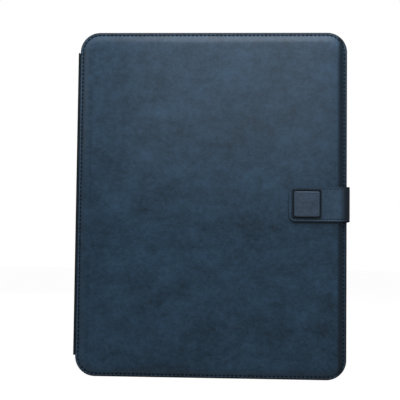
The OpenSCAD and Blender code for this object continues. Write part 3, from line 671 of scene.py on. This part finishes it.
cover_outline = Outline(0, MID_Z, COVER_W, COVER_H, CORNER_R)
window_outline = Outline((WINDOW_X0 + WINDOW_X1) / 2, MID_Z, WINDOW_X1 - WINDOW_X0, WINDOW_H,
                         WINDOW_R)
camera_outline = Outline(CAMERA_X, CAMERA_Z, 2 * CAMERA_R, 2 * CAMERA_R, CAMERA_R, 0.9)
stand_outline = Outline(STAND_X, MID_Z, STAND_W, STAND_H, STAND_R)
patch_outline = Outline(PATCH_X, MID_Z, PATCH_SIDE, PATCH_SIDE, PATCH_R, 0.5)
tray_outline = Outline(0, MID_Z, TRAY_W, TRAY_H, TRAY_R, 2.0)

padded_cover(cover_outline, FRONT_IN, -1, FRONT_T, 3.1).piece(
    "front_skin", cover_leather, "keyboard_side", "navy_leather", "front_leather")


def from_camera(x, z):
    return math.hypot(x - CAMERA_X, z - CAMERA_Z) - CAMERA_R


def rear_cover():
    """The rear skin, with the stand's window and the plain edge round the camera ring."""
    build = Build()
    seed, lip = 8.4, 1.3
    rise = REAR_T - EDGE_T
    loops = [edge_rings(build, cover_outline, REAR_IN, 1, rise, 1, seed),
             edge_rings(build, window_outline, REAR_IN, 1, rise, -1, seed)]
    camera = [build.contour(camera_outline, -grow, REAR_IN + height, 1.0) for grow, height in [
        (BACK_INSET, BACK_H), (0.0, BACK_H), (0.0, REAR_T - 0.25), (0.25, REAR_T),
        (lip, REAR_T)]]
    build.loft(camera)
    loops.append((camera[0], camera[-1]))

    def inside(x, z, d, camera_d):
        return min(cover_outline.depth(x, z) - d, -window_outline.depth(x, z) - d,
                   from_camera(x, z) - camera_d)

    def face_y(x, z):
        near = from_camera(x, z) - lip
        return REAR_IN + REAR_T + ripple(x, z, seed) * smooth_step(near / 8)

    build.fill([l[1] for l in loops], lambda x, z: inside(x, z, FACE_INSET, lip), face_y,
               FACE_NET)
    build.fill([l[0] for l in loops], lambda x, z: inside(x, z, BACK_INSET, BACK_INSET),
               REAR_IN + BACK_H, BACK_NET)
    build.piece("rear_skin", cover_leather, "tablet_side", "navy_leather", "rear_leather")


rear_cover()

stand_z0 = MID_Z - STAND_H / 2 + STAND_R
stand_z1 = MID_Z + STAND_H / 2 - STAND_R
stand_build = padded_cover(stand_outline, REAR_IN + STAND_LIFT, 1, REAR_T - STAND_LIFT, 12.7)
stand_build.run(arc(STAND_FOLD_X, STAND_FOLD_Y, STAND_BEAD_R, 0, 342, 19), stand_z0, stand_z1,
                0.25, 0.7)
stand_build.piece("stand_skin", cover_leather, "stand_leg", "navy_leather", "stand_leather")

stand_strip = Build()
stand_strip.run([(STAND_FOLD_X, STAND_FOLD_Y - 0.8), (WINDOW_X1 + 0.3, STAND_FOLD_Y - 0.8),
                 (WINDOW_X1 + 0.3, STAND_FOLD_Y + 0.6), (STAND_FOLD_X, STAND_FOLD_Y + 0.6)],
                stand_z0, stand_z1)
stand_strip.piece("stand_fold_strip", fold_dye, "tablet_side", "dark_leather",
                  "stand_fold_web")


# ---------------------------------------------------------------- spine

def spine_section():
    """The spine's leather seen from below: a strip between two rolled beads."""
    front, rear = FRONT_FOLD_Y, REAR_FOLD_Y
    inner_x, eased_x, neck_x = SPINE_OUT_X + SPINE_T, SPINE_OUT_X + 0.06, SPINE_FOLD_X + 0.3
    straight = np.linspace(front + 3.6, rear - 3.6, 8)
    points = arc(SPINE_FOLD_X, front, BEAD_R, 60, -170, 14)
    points += [(eased_x, front + 0.9), (SPINE_OUT_X, front + 1.8)]
    points += [(SPINE_OUT_X, y) for y in straight]
    points += [(SPINE_OUT_X, rear - 1.8), (eased_x, rear - 0.9)]
    points += arc(SPINE_FOLD_X, rear, BEAD_R, 170, -60, 14)
    points += [(neck_x, rear - 1.4), (inner_x, rear - 1.9)]
    points += [(inner_x, y) for y in straight[::-1]]
    points += [(inner_x, front + 1.9), (neck_x, front + 1.4)]
    return points


def spine_skin():
    """The spine, with a slight sag in its outer face and eased ends."""
    build = Build()
    middle = SPINE_OUT_X + SPINE_T / 2
    ends = [(0.0, 0.35), (0.15, 0.12), (0.5, 0.0)]
    stations = [(SPINE_Z0 + d, shrink) for d, shrink in ends]
    stations += [(z, 0.0) for z in np.linspace(SPINE_Z0 + 6, SPINE_Z1 - 6, 60)]
    stations += [(SPINE_Z1 - d, shrink) for d, shrink in reversed(ends)]
    rings = []
    for z, shrink in stations:
        ring = []
        for x, y in spine_section():
            sag = abs(0.05 * noise.noise(Vector((y / 9, 2.2, z / 14))))
            sags = x < middle and FRONT_FOLD_Y + 1.6 < y < REAR_FOLD_Y - 1.6
            ring.append((x + (middle - x) * shrink + (sag if sags else 0), y, z))
        rings.append(build.ring(ring, 1.0))
    build.loft(rings)
    build.faces += [tuple(rings[0]), tuple(rings[-1])]
    build.piece("spine_skin", spine_shaded, "spine", "dark_leather", "spine_leather", crease=50)


spine_skin()


def fold_strip(name, body, fold_y, *nodes):
    """The leather that runs from a cover's edge into the spine's bead."""
    build = Build()
    half, x = 0.52, -COVER_W / 2 + 0.4
    build.run(arc(SPINE_FOLD_X, fold_y, half, 90, 270, 10)
              + [(x, fold_y - half), (x, fold_y + half)], SPINE_Z0 + 0.4, SPINE_Z1 - 0.4)
    build.piece(name, fold_dye, body, "dark_leather", *nodes)


fold_strip("front_fold_strip", "keyboard_side", FRONT_FOLD_Y)
fold_strip("rear_fold_strip", "tablet_side", REAR_FOLD_Y, "spine_fold_webs")


# ---------------------------------------------------------------- strap

def roll_tab(x, y, z):
    """Lowers the tab's outer face towards its fold."""
    t = (x - (STRAP_FOLD_X - TAB_ROLL)) / TAB_ROLL
    if t <= 0 or y > TAB_FOLD_Y:
        return x, y, z
    return x, y + 0.45 * (1 - math.sqrt(max(0.0, 1 - min(t, 1.0) ** 2))), z


TAB_INSETS = [0.0, 0.08, 0.24, 0.45, 0.75, 1.05, 1.3, 1.55, 1.8, 2.05, 2.4, 2.9]


def tab_height(d):
    """Height of the tab's face over its middle layer, with its rounded rim and its crease."""
    rounding, crease_half, crease_deep = 0.5, 0.55, 0.20
    h = STRAP_T / 2
    if d < rounding:
        h += math.sqrt(rounding ** 2 - (rounding - d) ** 2) - rounding
    off = abs(d - SEAM_INSET)
    if off < crease_half:
        h -= crease_deep * math.cos(math.pi / 2 * off / crease_half) ** 1.3
    return h


def strap_tab_skin():
    build = Build()
    width = STRAP_FOLD_X - TAB_LEFT_X
    outline = Outline(TAB_LEFT_X + width / 2, MID_Z, width, STRAP_W,
                      [TAB_ROOT_R, TAB_END_R, TAB_END_R, TAB_ROOT_R], 0.9)
    underside = TAB_FOLD_Y + STRAP_T / 2 - 0.02

    def dip(x, z):
        """The strap gives way a little under the patch."""
        return 0.35 * (1 - smooth_step((-patch_outline.depth(x, z) - 0.2) / 1.3))

    rings = [build.contour(outline, d, underside if d > 0.3 else TAB_FOLD_Y + tab_height(d), d)
             for d in reversed(TAB_INSETS)]
    for d in TAB_INSETS[1:]:
        rings.append(build.contour(
            outline, d, lambda x, z: TAB_FOLD_Y - tab_height(d) + dip(x, z) * (d > 2), d))
    build.loft(rings)
    inside = outline.within(TAB_INSETS[-1])
    build.fill([rings[-1]], inside, lambda x, z: TAB_FOLD_Y - STRAP_T / 2 + dip(x, z), 0.9)
    build.fill([rings[0]], inside, underside, 3)
    build.move(roll_tab)
    build.piece("strap_tab_skin", tab_leather, "strap_tab", "navy_leather", "strap_tab")


strap_tab_skin()


def strap_side_skin():
    """The strap at the side of the case, with a rolled bead at both folds."""
    build = Build()
    r = STRAP_T / 2
    z0, z1 = MID_Z - STRAP_W / 2, MID_Z + STRAP_W / 2
    straight = np.linspace(TAB_FOLD_Y + 1, REAR_FOLD_Y - 1, 12)
    section = arc(STRAP_FOLD_X, TAB_FOLD_Y, r, 0, -180, 12)
    section += [(STRAP_FOLD_X - r, y) for y in straight]
    section += arc(STRAP_FOLD_X, REAR_FOLD_Y, r, 180, 0, 12)
    section += [(STRAP_FOLD_X + r, y) for y in straight[::-1]]
    profile = [(0.0, 0.5), (0.08, 0.72), (0.25, 0.9), (0.5, 1.0), (1.1, 1.0), (1.6, 0.86),
               (2.1, 1.0), (3.0, 1.0), (8.0, 1.0)]
    stations = [(z0 + d, s) for d, s in profile] + [(z1 - d, s) for d, s in reversed(profile)]
    rings = [build.ring([(STRAP_FOLD_X + (x - STRAP_FOLD_X) * share, y, z) for x, y in section],
                        min(z - z0, z1 - z)) for z, share in stations]
    build.loft(rings)
    build.faces += [tuple(rings[0]), tuple(rings[-1])]
    build.piece("strap_side_skin", side_leather, "strap_side", "navy_leather", "strap_side",
                crease=50)


strap_side_skin()

root_half = 0.62
strap_root = Build()
strap_root.run(arc(STRAP_FOLD_X, REAR_FOLD_Y, root_half, 90, -90, 10)
               + [(RIGHT_X - 0.5, REAR_FOLD_Y - root_half),
                  (RIGHT_X - 0.5, REAR_FOLD_Y + root_half)],
               MID_Z - STRAP_W / 2 + 0.3, MID_Z + STRAP_W / 2 - 0.3)
strap_root.piece("strap_fold_strip", fold_dye, "tablet_side", "dark_leather",
                 "strap_fold_webs")


def patch():
    """The square of leather on the strap: a soft bevel all round and a slightly dished face."""
    build = Build()
    foot, top = TAB_OUT + 0.1, PATCH_T
    profile = [(2.4, 0.0), (0.0, 0.0), (0.0, top - 0.75), (0.10, top - 0.42), (0.30, top - 0.18),
               (0.62, top - 0.04), (1.0, top), (1.4, top - 0.02), (1.9, top - 0.05),
               (2.6, top - 0.06)]
    rings = [build.contour(patch_outline, d, foot - h * (foot - PATCH_OUT) / top, 0.55 + d)
             for d, h in profile]
    build.loft(rings)
    level = build.points[rings[-1][0]][1]
    build.fill([rings[-1]], patch_outline.within(profile[-1][0]),
               lambda x, z: level + 0.05 * noise.noise(Vector((x / 6, 4.0, z / 6))), 0.9)
    build.fill([rings[0]], patch_outline.within(profile[0][0]), foot, 4)
    build.piece("strap_patch_skin", patch_leather, "strap_tab", "navy_leather", "strap_patch")


patch()


# ---------------------------------------------------------------- palm rest

def palm_rest():
    """A padded rest: sides that bulge, a welt near the top, and a crowned face."""
    low, high = [[v / MM for v in corner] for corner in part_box("palm_rest")]
    w, h = high[0] - low[0], high[2] - low[2]
    outline = Outline((low[0] + high[0]) / 2, (low[2] + high[2]) / 2, w, h, PALM_R)
    profile = [(3.0, 0.02), (0.35, 0.02), (0.12, 0.5), (0.02, 1.4), (0.0, 2.3), (0.12, 3.2),
               (0.35, 3.9), (0.62, 4.35), (0.80, 4.55), (1.00, 4.60), (1.25, 4.85),
               (1.8, 5.25), (2.8, 5.68), (4.2, 6.02), (6.0, 6.25), (8.5, 6.40)]
    (foot_inset, foot_h), (face_inset, face_h) = profile[0], profile[-1]
    build = Build()

    def swell(x, z):
        return 0.10 * noise.noise(Vector((x / 20, 7.7, z / 20)))

    def crown(x, z):
        across = (outline.depth(x, z) - face_inset) / (w / 2 - face_inset)
        return low[1] + face_h + 0.16 * smooth_step(across) + swell(x, z)

    rings = [build.contour(outline, d, lambda x, z: low[1] + y + swell(x, z) * (y > 4.8), 3.0)
             for d, y in profile]
    build.loft(rings)
    build.fill([rings[-1]], outline.within(face_inset), crown, FACE_NET)
    build.fill([rings[0]], outline.within(foot_inset), low[1] + foot_h, BACK_NET)
    build.piece("palm_rest_pad", suede, "keyboard_side", "suede", "palm_rest")


palm_rest()


# ---------------------------------------------------------------- linings

SEAM_X, PANEL_GAP = KB_X + 2.0, 0.80
SEWN_ROLL = [(3.5, 0.45), (1.1, 0.45), (0.85, 0.25), (0.95, 0.06), (1.3, 0.0), (1.75, 0.0),
             (2.0, 0.12), (2.25, 0.0), (3.5, 0.0)]
CUT_ROLL = [(1.3, 0.38), (0.2, 0.38), (0.0, 0.27), (0.04, 0.08), (0.25, 0.0), (0.6, 0.0),
            (0.8, 0.07), (1.0, 0.0), (1.3, 0.0)]
SEWN_DEEP, CUT_DEEP = SEWN_ROLL[0][0], CUT_ROLL[0][0]   # where the nets start


def lining(build, inner_y, out, loops, inside):
    """A thin suede sheet. Each loop is an outline, 1 for its outer edge or -1 for a hole, and
    the depth and height of its rolled edge, step by step."""
    fronts, backs = [], []
    for outline, inward, roll in loops:
        rings = [build.contour(outline, inward * d, inner_y + out * h, 5.0) for d, h in roll]
        build.loft(rings)
        fronts.append(rings[-1])
        backs.append(rings[0])
    level = loops[0][2][0][1]
    build.fill(fronts, inside, inner_y, 7)
    build.fill(backs, inside, inner_y + out * level, BACK_NET)
    return build


# The front lining is two panels that meet at a seam beside the keyboard.
front_panels = Build()
for x0, x1, radii in [(-RIGHT_X, SEAM_X + PANEL_GAP, [0.4, CORNER_R, CORNER_R, 0.4]),
                      (SEAM_X - PANEL_GAP, RIGHT_X, [CORNER_R, 0.4, 0.4, CORNER_R])]:
    lining(front_panels, FRONT_IN, -1,
           [(Outline((x0 + x1) / 2, MID_Z, x1 - x0, COVER_H, radii), 1, SEWN_ROLL)],
           lambda x, z: min(cover_outline.depth(x, z), x - x0, x1 - x) - SEWN_DEEP)
front_panels.piece("front_lining_suede", suede, "keyboard_side", "suede", "front_lining")
lining(Build(), REAR_IN, 1, [(cover_outline, 1, SEWN_ROLL), (window_outline, -1, SEWN_ROLL),
                             (camera_outline, -1, CUT_ROLL)],
       lambda x, z: min(cover_outline.depth(x, z) - SEWN_DEEP,
                        -window_outline.depth(x, z) - SEWN_DEEP,
                        from_camera(x, z) - CUT_DEEP)).piece(
    "rear_lining_suede", suede, "tablet_side", "suede", "rear_lining")
lining(Build(), REAR_IN + STAND_LIFT, 1, [(stand_outline, 1, SEWN_ROLL)],
       stand_outline.within(SEWN_DEEP)).piece(
    "stand_lining_suede", suede, "stand_leg", "suede", "stand_lining")
lining(Build(), TRAY_IN, 1, [(tray_outline, 1, CUT_ROLL), (camera_outline, -1, CUT_ROLL)],
       lambda x, z: min(tray_outline.depth(x, z), from_camera(x, z)) - CUT_DEEP).piece(
    "tray_liner_suede", tray_suede, "tablet_side", "suede", "tray_liner")

# The spine's lining is a strip with rounded corners.
x0, x1, y0, y1, corner = -97.4, -96.8, -6.6, 10.1, 0.28
section = []
for x, y, start in [(x1 - corner, y1 - corner, 0), (x0 + corner, y1 - corner, 90),
                    (x0 + corner, y0 + corner, 180), (x1 - corner, y0 + corner, 270)]:
    section += arc(x, y, corner, start, start + 90, 4)
spine_inside = Build()
spine_inside.run(section, SPINE_Z0 + 1, SPINE_Z1 - 1)
spine_inside.piece("spine_lining_suede", suede, "spine", "suede", "spine_lining")


def pull_tab():
    """The leather tongue that lifts the stand, with rounded edges and a creased line."""
    x0, x1, y0, height, thick = -84.7, -78.2, 13.4, 16.0, 1.0
    outline = Outline((x0 + x1) / 2, MID_Z, x1 - x0, height, 1.5, 0.6)
    profile = [(1.4, 0.0), (0.25, 0.0), (0.06, 0.15), (0.0, 0.5), (0.06, 0.85), (0.25, thick),
               (0.7, thick), (0.9, 0.88), (1.1, thick), (1.4, thick)]
    build = Build()
    rings = [build.contour(outline, d, y0 + h, 1.0) for d, h in profile]
    build.loft(rings)
    build.fill([rings[0]], outline.within(profile[0][0]), y0, 2)
    build.fill([rings[-1]], outline.within(profile[-1][0]), y0 + thick, 1)
    build.piece("stand_pull_tongue", fold_dye, "stand_leg", "dark_leather", "stand_pull_tab")


pull_tab()


# ---------------------------------------------------------------- stitches

def stitch_tree():
    """Stitches laid end to end along a path, as a node group with its sizes as inputs."""
    tree = bpy.data.node_groups.new("stitch_row", "GeometryNodeTree")
    identifiers = {}
    for label, kind in [("Geometry", "Geometry"), ("Pitch", "Float"), ("Length", "Float"),
                        ("Thread", "Float"), ("Lean", "Float"), ("Seed", "Int"),
                        ("Thread finish", "Material")]:
        socket = tree.interface.new_socket(label, in_out="INPUT",
                                           socket_type="NodeSocket" + kind)
        identifiers[label] = socket.identifier
    tree.interface.new_socket("Geometry", in_out="OUTPUT", socket_type="NodeSocketGeometry")
    nodes = Nodes(tree)

    def given(label):
        return nodes.add("NodeGroupInput", pick=label)

    curve = nodes.add("GeometryNodeMeshToCurve", {}, {"Mesh": given("Geometry")})
    points = nodes.add("GeometryNodeCurveToPoints", {"mode": "LENGTH"},
                       {"Curve": curve, "Length": given("Pitch")})
    ball = nodes.add("GeometryNodeMeshUVSphere", {}, {"Segments": 8, "Rings": 6, "Radius": 0.5})
    size = nodes.add("ShaderNodeCombineXYZ", {}, {
        "X": given("Thread"), "Y": given("Thread"), "Z": given("Length")})
    stitch = nodes.add("GeometryNodeTransform", {}, {"Geometry": ball, "Scale": size})
    smooth = nodes.add("GeometryNodeSetShadeSmooth", {}, {"Geometry": stitch})
    lean = nodes.add("FunctionNodeRandomValue", {"data_type": "FLOAT"}, {
        2: given("Lean") * -1.0, 3: given("Lean"), "Seed": given("Seed")}, 1)
    turn = nodes.add("ShaderNodeCombineXYZ", {}, {"X": lean, "Y": lean})
    laid = nodes.add("GeometryNodeInstanceOnPoints", {}, {
        "Points": points, "Instance": smooth, "Rotation": points.beside("Rotation")})
    leaned = nodes.add("GeometryNodeRotateInstances", {}, {"Instances": laid, "Rotation": turn})
    real = nodes.add("GeometryNodeRealizeInstances", {}, {"Geometry": leaned})
    dressed = nodes.add("GeometryNodeSetMaterial", {}, {
        "Geometry": real, "Material": given("Thread finish")})
    nodes.add("NodeGroupOutput", {}, {"Geometry": dressed}, None)
    return tree, identifiers


stitch_group, STITCH_INPUTS = stitch_tree()


def plain_mesh(piece):
    """The piece's mesh after its modifiers. The piece itself is removed."""
    bpy.context.view_layer.update()
    seen = piece.evaluated_get(bpy.context.evaluated_depsgraph_get())
    mesh = bpy.data.meshes.new_from_object(seen)
    bpy.data.objects.remove(piece)
    return mesh


def stitches(name, paths, body, seed, length=1.95, gauge=1.3, pitch=STITCH_PITCH):
    """A piece of thread for one body. Each path is its points in millimetres and whether it
    closes; the pitch is stretched so that whole stitches fill it."""
    work = bmesh.new()
    for points, closed in paths:
        count = len(points)
        path = bpy.data.meshes.new(name)
        edges = [(i, i + 1) for i in range(count - 1)] + ([(count - 1, 0)] if closed else [])
        path.from_pydata([[c * MM for c in p] for p in points], edges, [])
        piece = bpy.data.objects.new(name, path)
        bpy.context.scene.collection.objects.link(piece)
        run = sum(math.dist(points[a], points[b]) for a, b in edges)
        row = piece.modifiers.new("stitches", "NODES")
        row.node_group = stitch_group
        values = {"Pitch": run / round(run / pitch) * MM, "Length": length * MM,
                  "Thread": gauge * MM, "Lean": 0.07, "Seed": seed,
                  "Thread finish": navy_thread}
        for label, value in values.items():
            row[STITCH_INPUTS[label]] = value
        work.from_mesh(plain_mesh(piece))
    mesh = bpy.data.meshes.new(name)
    work.to_mesh(mesh)
    work.free()
    fit(show(name, mesh, navy_thread, 60), body, "dark_leather")


# How far the stitches lie outside a cover's inner face, in the groove and on the lining
IN_GROOVE, IN_LINING = border_height(STITCH_INSET, 0) + 0.02, 0.05


def border_seam(outline, inward, y):
    """The closed path of a border's stitches."""
    return [(x, y, z) for x, z in outline.ring(inward * STITCH_INSET)], True


def tab_seam():
    """The seam along the strap's tab, from fold to fold round its end."""
    y, x1 = TAB_OUT + 0.10, 94.0
    z0, z1 = MID_Z - STRAP_W / 2 + SEAM_INSET, MID_Z + STRAP_W / 2 - SEAM_INSET
    x0, r = TAB_LEFT_X + SEAM_INSET, TAB_END_R - SEAM_INSET
    points = [(x, z1) for x in np.linspace(x1, x0 + r, 40)]
    points += arc(x0 + r, z1 - r, r, 90, 180, 6)[1:]
    points += [(x0, z) for z in np.linspace(z1 - r, z0 + r, 20)][1:]
    points += arc(x0 + r, z0 + r, r, 180, 270, 6)[1:]
    points += [(x, z0) for x in np.linspace(x0 + r, x1, 40)][1:]
    return [(float(x), y, float(z)) for x, z in points], False


stitches("front_stitches", [border_seam(cover_outline, 1, FRONT_IN - IN_GROOVE),
                            border_seam(cover_outline, 1, FRONT_IN - IN_LINING)],
         "keyboard_side", 3)
stitches("rear_stitches", [border_seam(cover_outline, 1, REAR_IN + IN_GROOVE),
                           border_seam(window_outline, -1, REAR_IN + IN_GROOVE),
                           border_seam(cover_outline, 1, REAR_IN + IN_LINING)],
         "tablet_side", 4)
stitches("stand_stitches", [border_seam(stand_outline, 1, REAR_IN + STAND_LIFT + IN_GROOVE),
                            border_seam(stand_outline, 1, REAR_IN + STAND_LIFT + IN_LINING)],
         "stand_leg", 5)
stitches("strap_stitches", [tab_seam()], "strap_tab", 6, 1.5, 0.55, 2.6)
welt = Outline(PALM_X, MID_Z, PALM_W, PALM_H, PALM_R).ring(1.0)
stitches("palm_rest_stitches", [([(x, FRONT_IN + WELT_H, z) for x, z in welt], True)],
         "keyboard_side", 7, 2.0, 0.5)


# ---------------------------------------------------------------- domes and key legends

FUNCTION_ROW = ["esc"] + ["F%d" % n for n in range(1, 13)] + ["del"]
NUMBER_ROW = ["~\n`", "!\n1", "@\n2", "#\n3", "$\n4", "%\n5", "^\n6", "&\n7", "*\n8", "(\n9",
              ")\n0", "_\n-", "+\n=", "back"]
UPPER_ROW = ["tab", *"QWERTYUIOP", "{\n[", "}\n]", "|"]
HOME_ROW = ["caps", *"ASDFGHJKL", ":\n;", "\"\n'", "enter"]
LOWER_ROW = ["shift", *"ZXCVBNM", "<\n,", ">\n.", "?\n/", "shift"]
SPACE_ROW = ["fn", "ctrl", "home", "alt", "", "alt", "ctrl", "left", "up down", "right"]
KEY_ROWS = [
    (SPACE_ROW, [1, 1, 1, 1.25, 4.5, 1.25, 1, 1, 1, 1], 1.0,
     ["modifier_keys"] * 4 + ["space_bar"] + ["modifier_keys"] * 2
     + ["left_arrow_key", "up_arrow_key", "right_arrow_key"]),
    (LOWER_ROW, [2] + [1] * 10 + [2], 1.0,
     ["left_shift_key"] + ["lower_letter_keys"] * 10 + ["right_shift_key"]),
    (HOME_ROW, [1.5] + [1] * 11 + [1.5], 1.0,
     ["caps_lock_key"] + ["home_letter_keys"] * 11 + ["enter_key"]),
    (UPPER_ROW, [1.25] + [1] * 12 + [0.75], 1.0, ["tab_key"] + ["upper_letter_keys"] * 13),
    (NUMBER_ROW, [0.75] + [1] * 12 + [1.25], 1.0, ["number_keys"] * 13 + ["backspace_key"]),
    (FUNCTION_ROW, [1] * 14, 0.6, ["function_keys"] * 14),
]
LEGEND_T = 0.03
legends, domes = {}, {}


def words(label, size):
    """A printed legend as points and faces in millimetres, centred on the origin."""
    text = bpy.data.curves.new("legend", "FONT")
    text.body, text.size, text.extrude = label, size, LEGEND_T / 2
    text.align_x, text.space_line, text.resolution_u = "CENTER", 0.95, 2
    piece = bpy.data.objects.new("legend", text)
    bpy.context.scene.collection.objects.link(piece)
    mesh = plain_mesh(piece)
    points = np.array([v.co[:] for v in mesh.vertices])
    middle = (points.max(axis=0) + points.min(axis=0)) / 2
    return points - middle, [tuple(p.vertices) for p in mesh.polygons]


def arrow(turn):
    """A triangle that points along turn, in degrees."""
    flat = [(math.cos(math.radians(turn + a)) * 1.25, math.sin(math.radians(turn + a)) * 1.25)
            for a in (0, 128, 232)]
    points = [(x, y, h) for h in (-LEGEND_T / 2, LEGEND_T / 2) for x, y in flat]
    return np.array(points), [(2, 1, 0), (3, 4, 5), (0, 1, 4, 3), (1, 2, 5, 4), (2, 0, 3, 5)]


def print_legend(node, shape, u, v, top=KEY_TOP):
    """Sets a legend down on the keyboard: u runs along its rows, v away from the palm rest."""
    points, faces = shape
    build = legends.setdefault(node, Build())
    first = len(build.points)
    for x, y, h in points:
        build.add((KB_X - v - y, FRONT_IN + top + LEGEND_T / 2 - 0.005 + h, KB_Z - u - x))
    build.faces += [tuple(first + i for i in face) for face in faces]


def dome(node, u, v):
    """A rubber dome under a key: a foot, a thin wall and a flat boss that meets the key."""
    build = domes.setdefault(node, Build())
    turns = [math.radians(360 * n / 20) for n in range(20)]
    rings = [build.ring([(KB_X - v + r * math.sin(a), FRONT_IN + h, KB_Z - u + r * math.cos(a))
                         for a in turns])
             for r, h in [(1.2, DOME_FOOT), (2.5, DOME_FOOT), (2.5, 1.72), (2.3, 1.9),
                          (2.05, 2.5), (1.72, 2.86), (1.5, 2.95), (1.46, 3.1), (0.8, 3.1)]]
    build.loft(rings)
    build.fan(rings[-1])
    build.faces.append(tuple(rings[0]))


deep = KEY_FRONT
for labels, widths, share, owners in KEY_ROWS:
    u, v = KEY_SIDE, deep + share * KEY_PITCH / 2
    for label, width, owner in zip(labels, widths, owners):
        middle = u + width * KEY_PITCH / 2
        if label == "up down":
            for node, turn, away in [("up_arrow_key", 90, ARROW_SHIFT),
                                     ("down_arrow_key", 270, -ARROW_SHIFT)]:
                dome(node, middle, v + away)
                print_legend(node, arrow(turn), middle, v + away)
        else:
            dome(owner, middle, v)
            if label in ("left", "right"):
                print_legend(owner, arrow(180 if label == "left" else 0), middle, v)
            elif label:
                size = 4.6 if len(label) == 1 else 3.5 if "\n" in label else 2.7
                print_legend(owner, words(label, size if share == 1.0 else 2.3), middle, v)
        u += width * KEY_PITCH
    deep += share * KEY_PITCH
for label, u in [("off", 24.6), ("on", 37.8)]:
    print_legend("keyboard_deck", words(label, 2.2), u, SLIDER_V, BAR_TOP)
for node, build in domes.items():
    rubber = build.piece(node + "_domes", dome_rubber, "keyboard_side", "rubber", "rubber_domes")
    "key_press_" + node
    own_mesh(rubber)
for node, build in legends.items():
    body = "keyboard_side" if node == "keyboard_deck" else node
    build.piece(node + "_print", legend_ink, body, "key_plastic", crease=30)


# ---------------------------------------------------------------- light, floor and camera

ROOM_LIGHT, GLOW = 0.07, 1.06
FRAME_PIXELS, FOCAL_PIXELS, SENSOR_MM = 400, 961.3, 36.0


def lamp(name, place, aim, size, power):
    data = bpy.data.lights.new(name, "AREA")
    data.size, data.energy = size, power
    light = bpy.data.objects.new(name, data)
    bpy.context.scene.collection.objects.link(light)
    light.location = place
    light.rotation_euler = (Vector(aim) - Vector(place)).to_track_quat("-Z", "Y").to_euler()


lamp("top", (0.05, -0.20, 0.50), (0.03, 0, 0.13), 0.3, 2.65)
lamp("side", (-0.95, -0.60, 0.50), (0, 0, 0.14), 0.4, 1.0)
lamp("front", (0.14, -1.10, 0.46), (0, 0, 0.12), 0.3, 1.45)
lamp("rear", (-0.6, 1.0, 0.8), (0, 0, 0.12), 1.0, 12.0)


def seen_directly(finish):
    """1 for rays from the camera and for those that come off gloss or through glass."""
    kinds = [finish.add("ShaderNodeLightPath", pick="Is %s Ray" % kind)
             for kind in ("Camera", "Glossy", "Transmission")]
    return kinds[0].larger(kinds[1]).larger(kinds[2])


world = bpy.data.worlds.new("studio")
bpy.context.scene.world = world
room = Finish(world)
plain = room.add("ShaderNodeBackground", {}, {
    "Color": (0.95, 0.97, 1.0, 1), "Strength": ROOM_LIGHT})
backdrop = room.add("ShaderNodeBackground", {}, {"Color": (1, 1, 1, 1), "Strength": 1.0})
mixed = room.add("ShaderNodeMixShader", {}, {0: seen_directly(room), 1: plain, 2: backdrop})
room.add("ShaderNodeOutputWorld", {}, {"Surface": mixed}, None)

white = Finish("floor_white")
matt = white.add("ShaderNodeBsdfDiffuse", {}, {"Color": (0.55, 0.55, 0.55, 1)})
glow = white.add("ShaderNodeEmission", {}, {"Color": (1, 1, 1, 1), "Strength": GLOW})
white_finish = white.output(white.add("ShaderNodeMixShader", {}, {
    0: seen_directly(white) * 0.92, 1: matt, 2: glow}))
floor_mesh = bpy.data.meshes.new("floor")
floor_mesh.from_pydata([(x, y, 0) for x, y in [(-6, -6), (6, -6), (6, 6), (-6, 6)]], [],
                       [(0, 1, 2, 3)])
floor = show("floor", floor_mesh, white_finish)
floor.location.z = -0.0002

camera_data = bpy.data.cameras.new("camera")
camera_data.sensor_width = SENSOR_MM
camera_data.lens = SENSOR_MM * FOCAL_PIXELS / FRAME_PIXELS
camera_data.clip_start, camera_data.clip_end = 0.01, 50
camera = bpy.data.objects.new("camera", camera_data)
bpy.context.scene.collection.objects.link(camera)
stance = Matrix.Translation((0.0291, -0.7079, 0.0875))
for degrees, axis in [(3.063, "Z"), (3.364, "X"), (-0.653, "Y"), (90, "X")]:
    stance = stance @ Matrix.Rotation(math.radians(degrees), 4, axis)
camera.matrix_world = stance
bpy.context.scene.camera = camera
bpy.context.scene.view_settings.view_transform = "Standard"

bpy.context.view_layer.update()
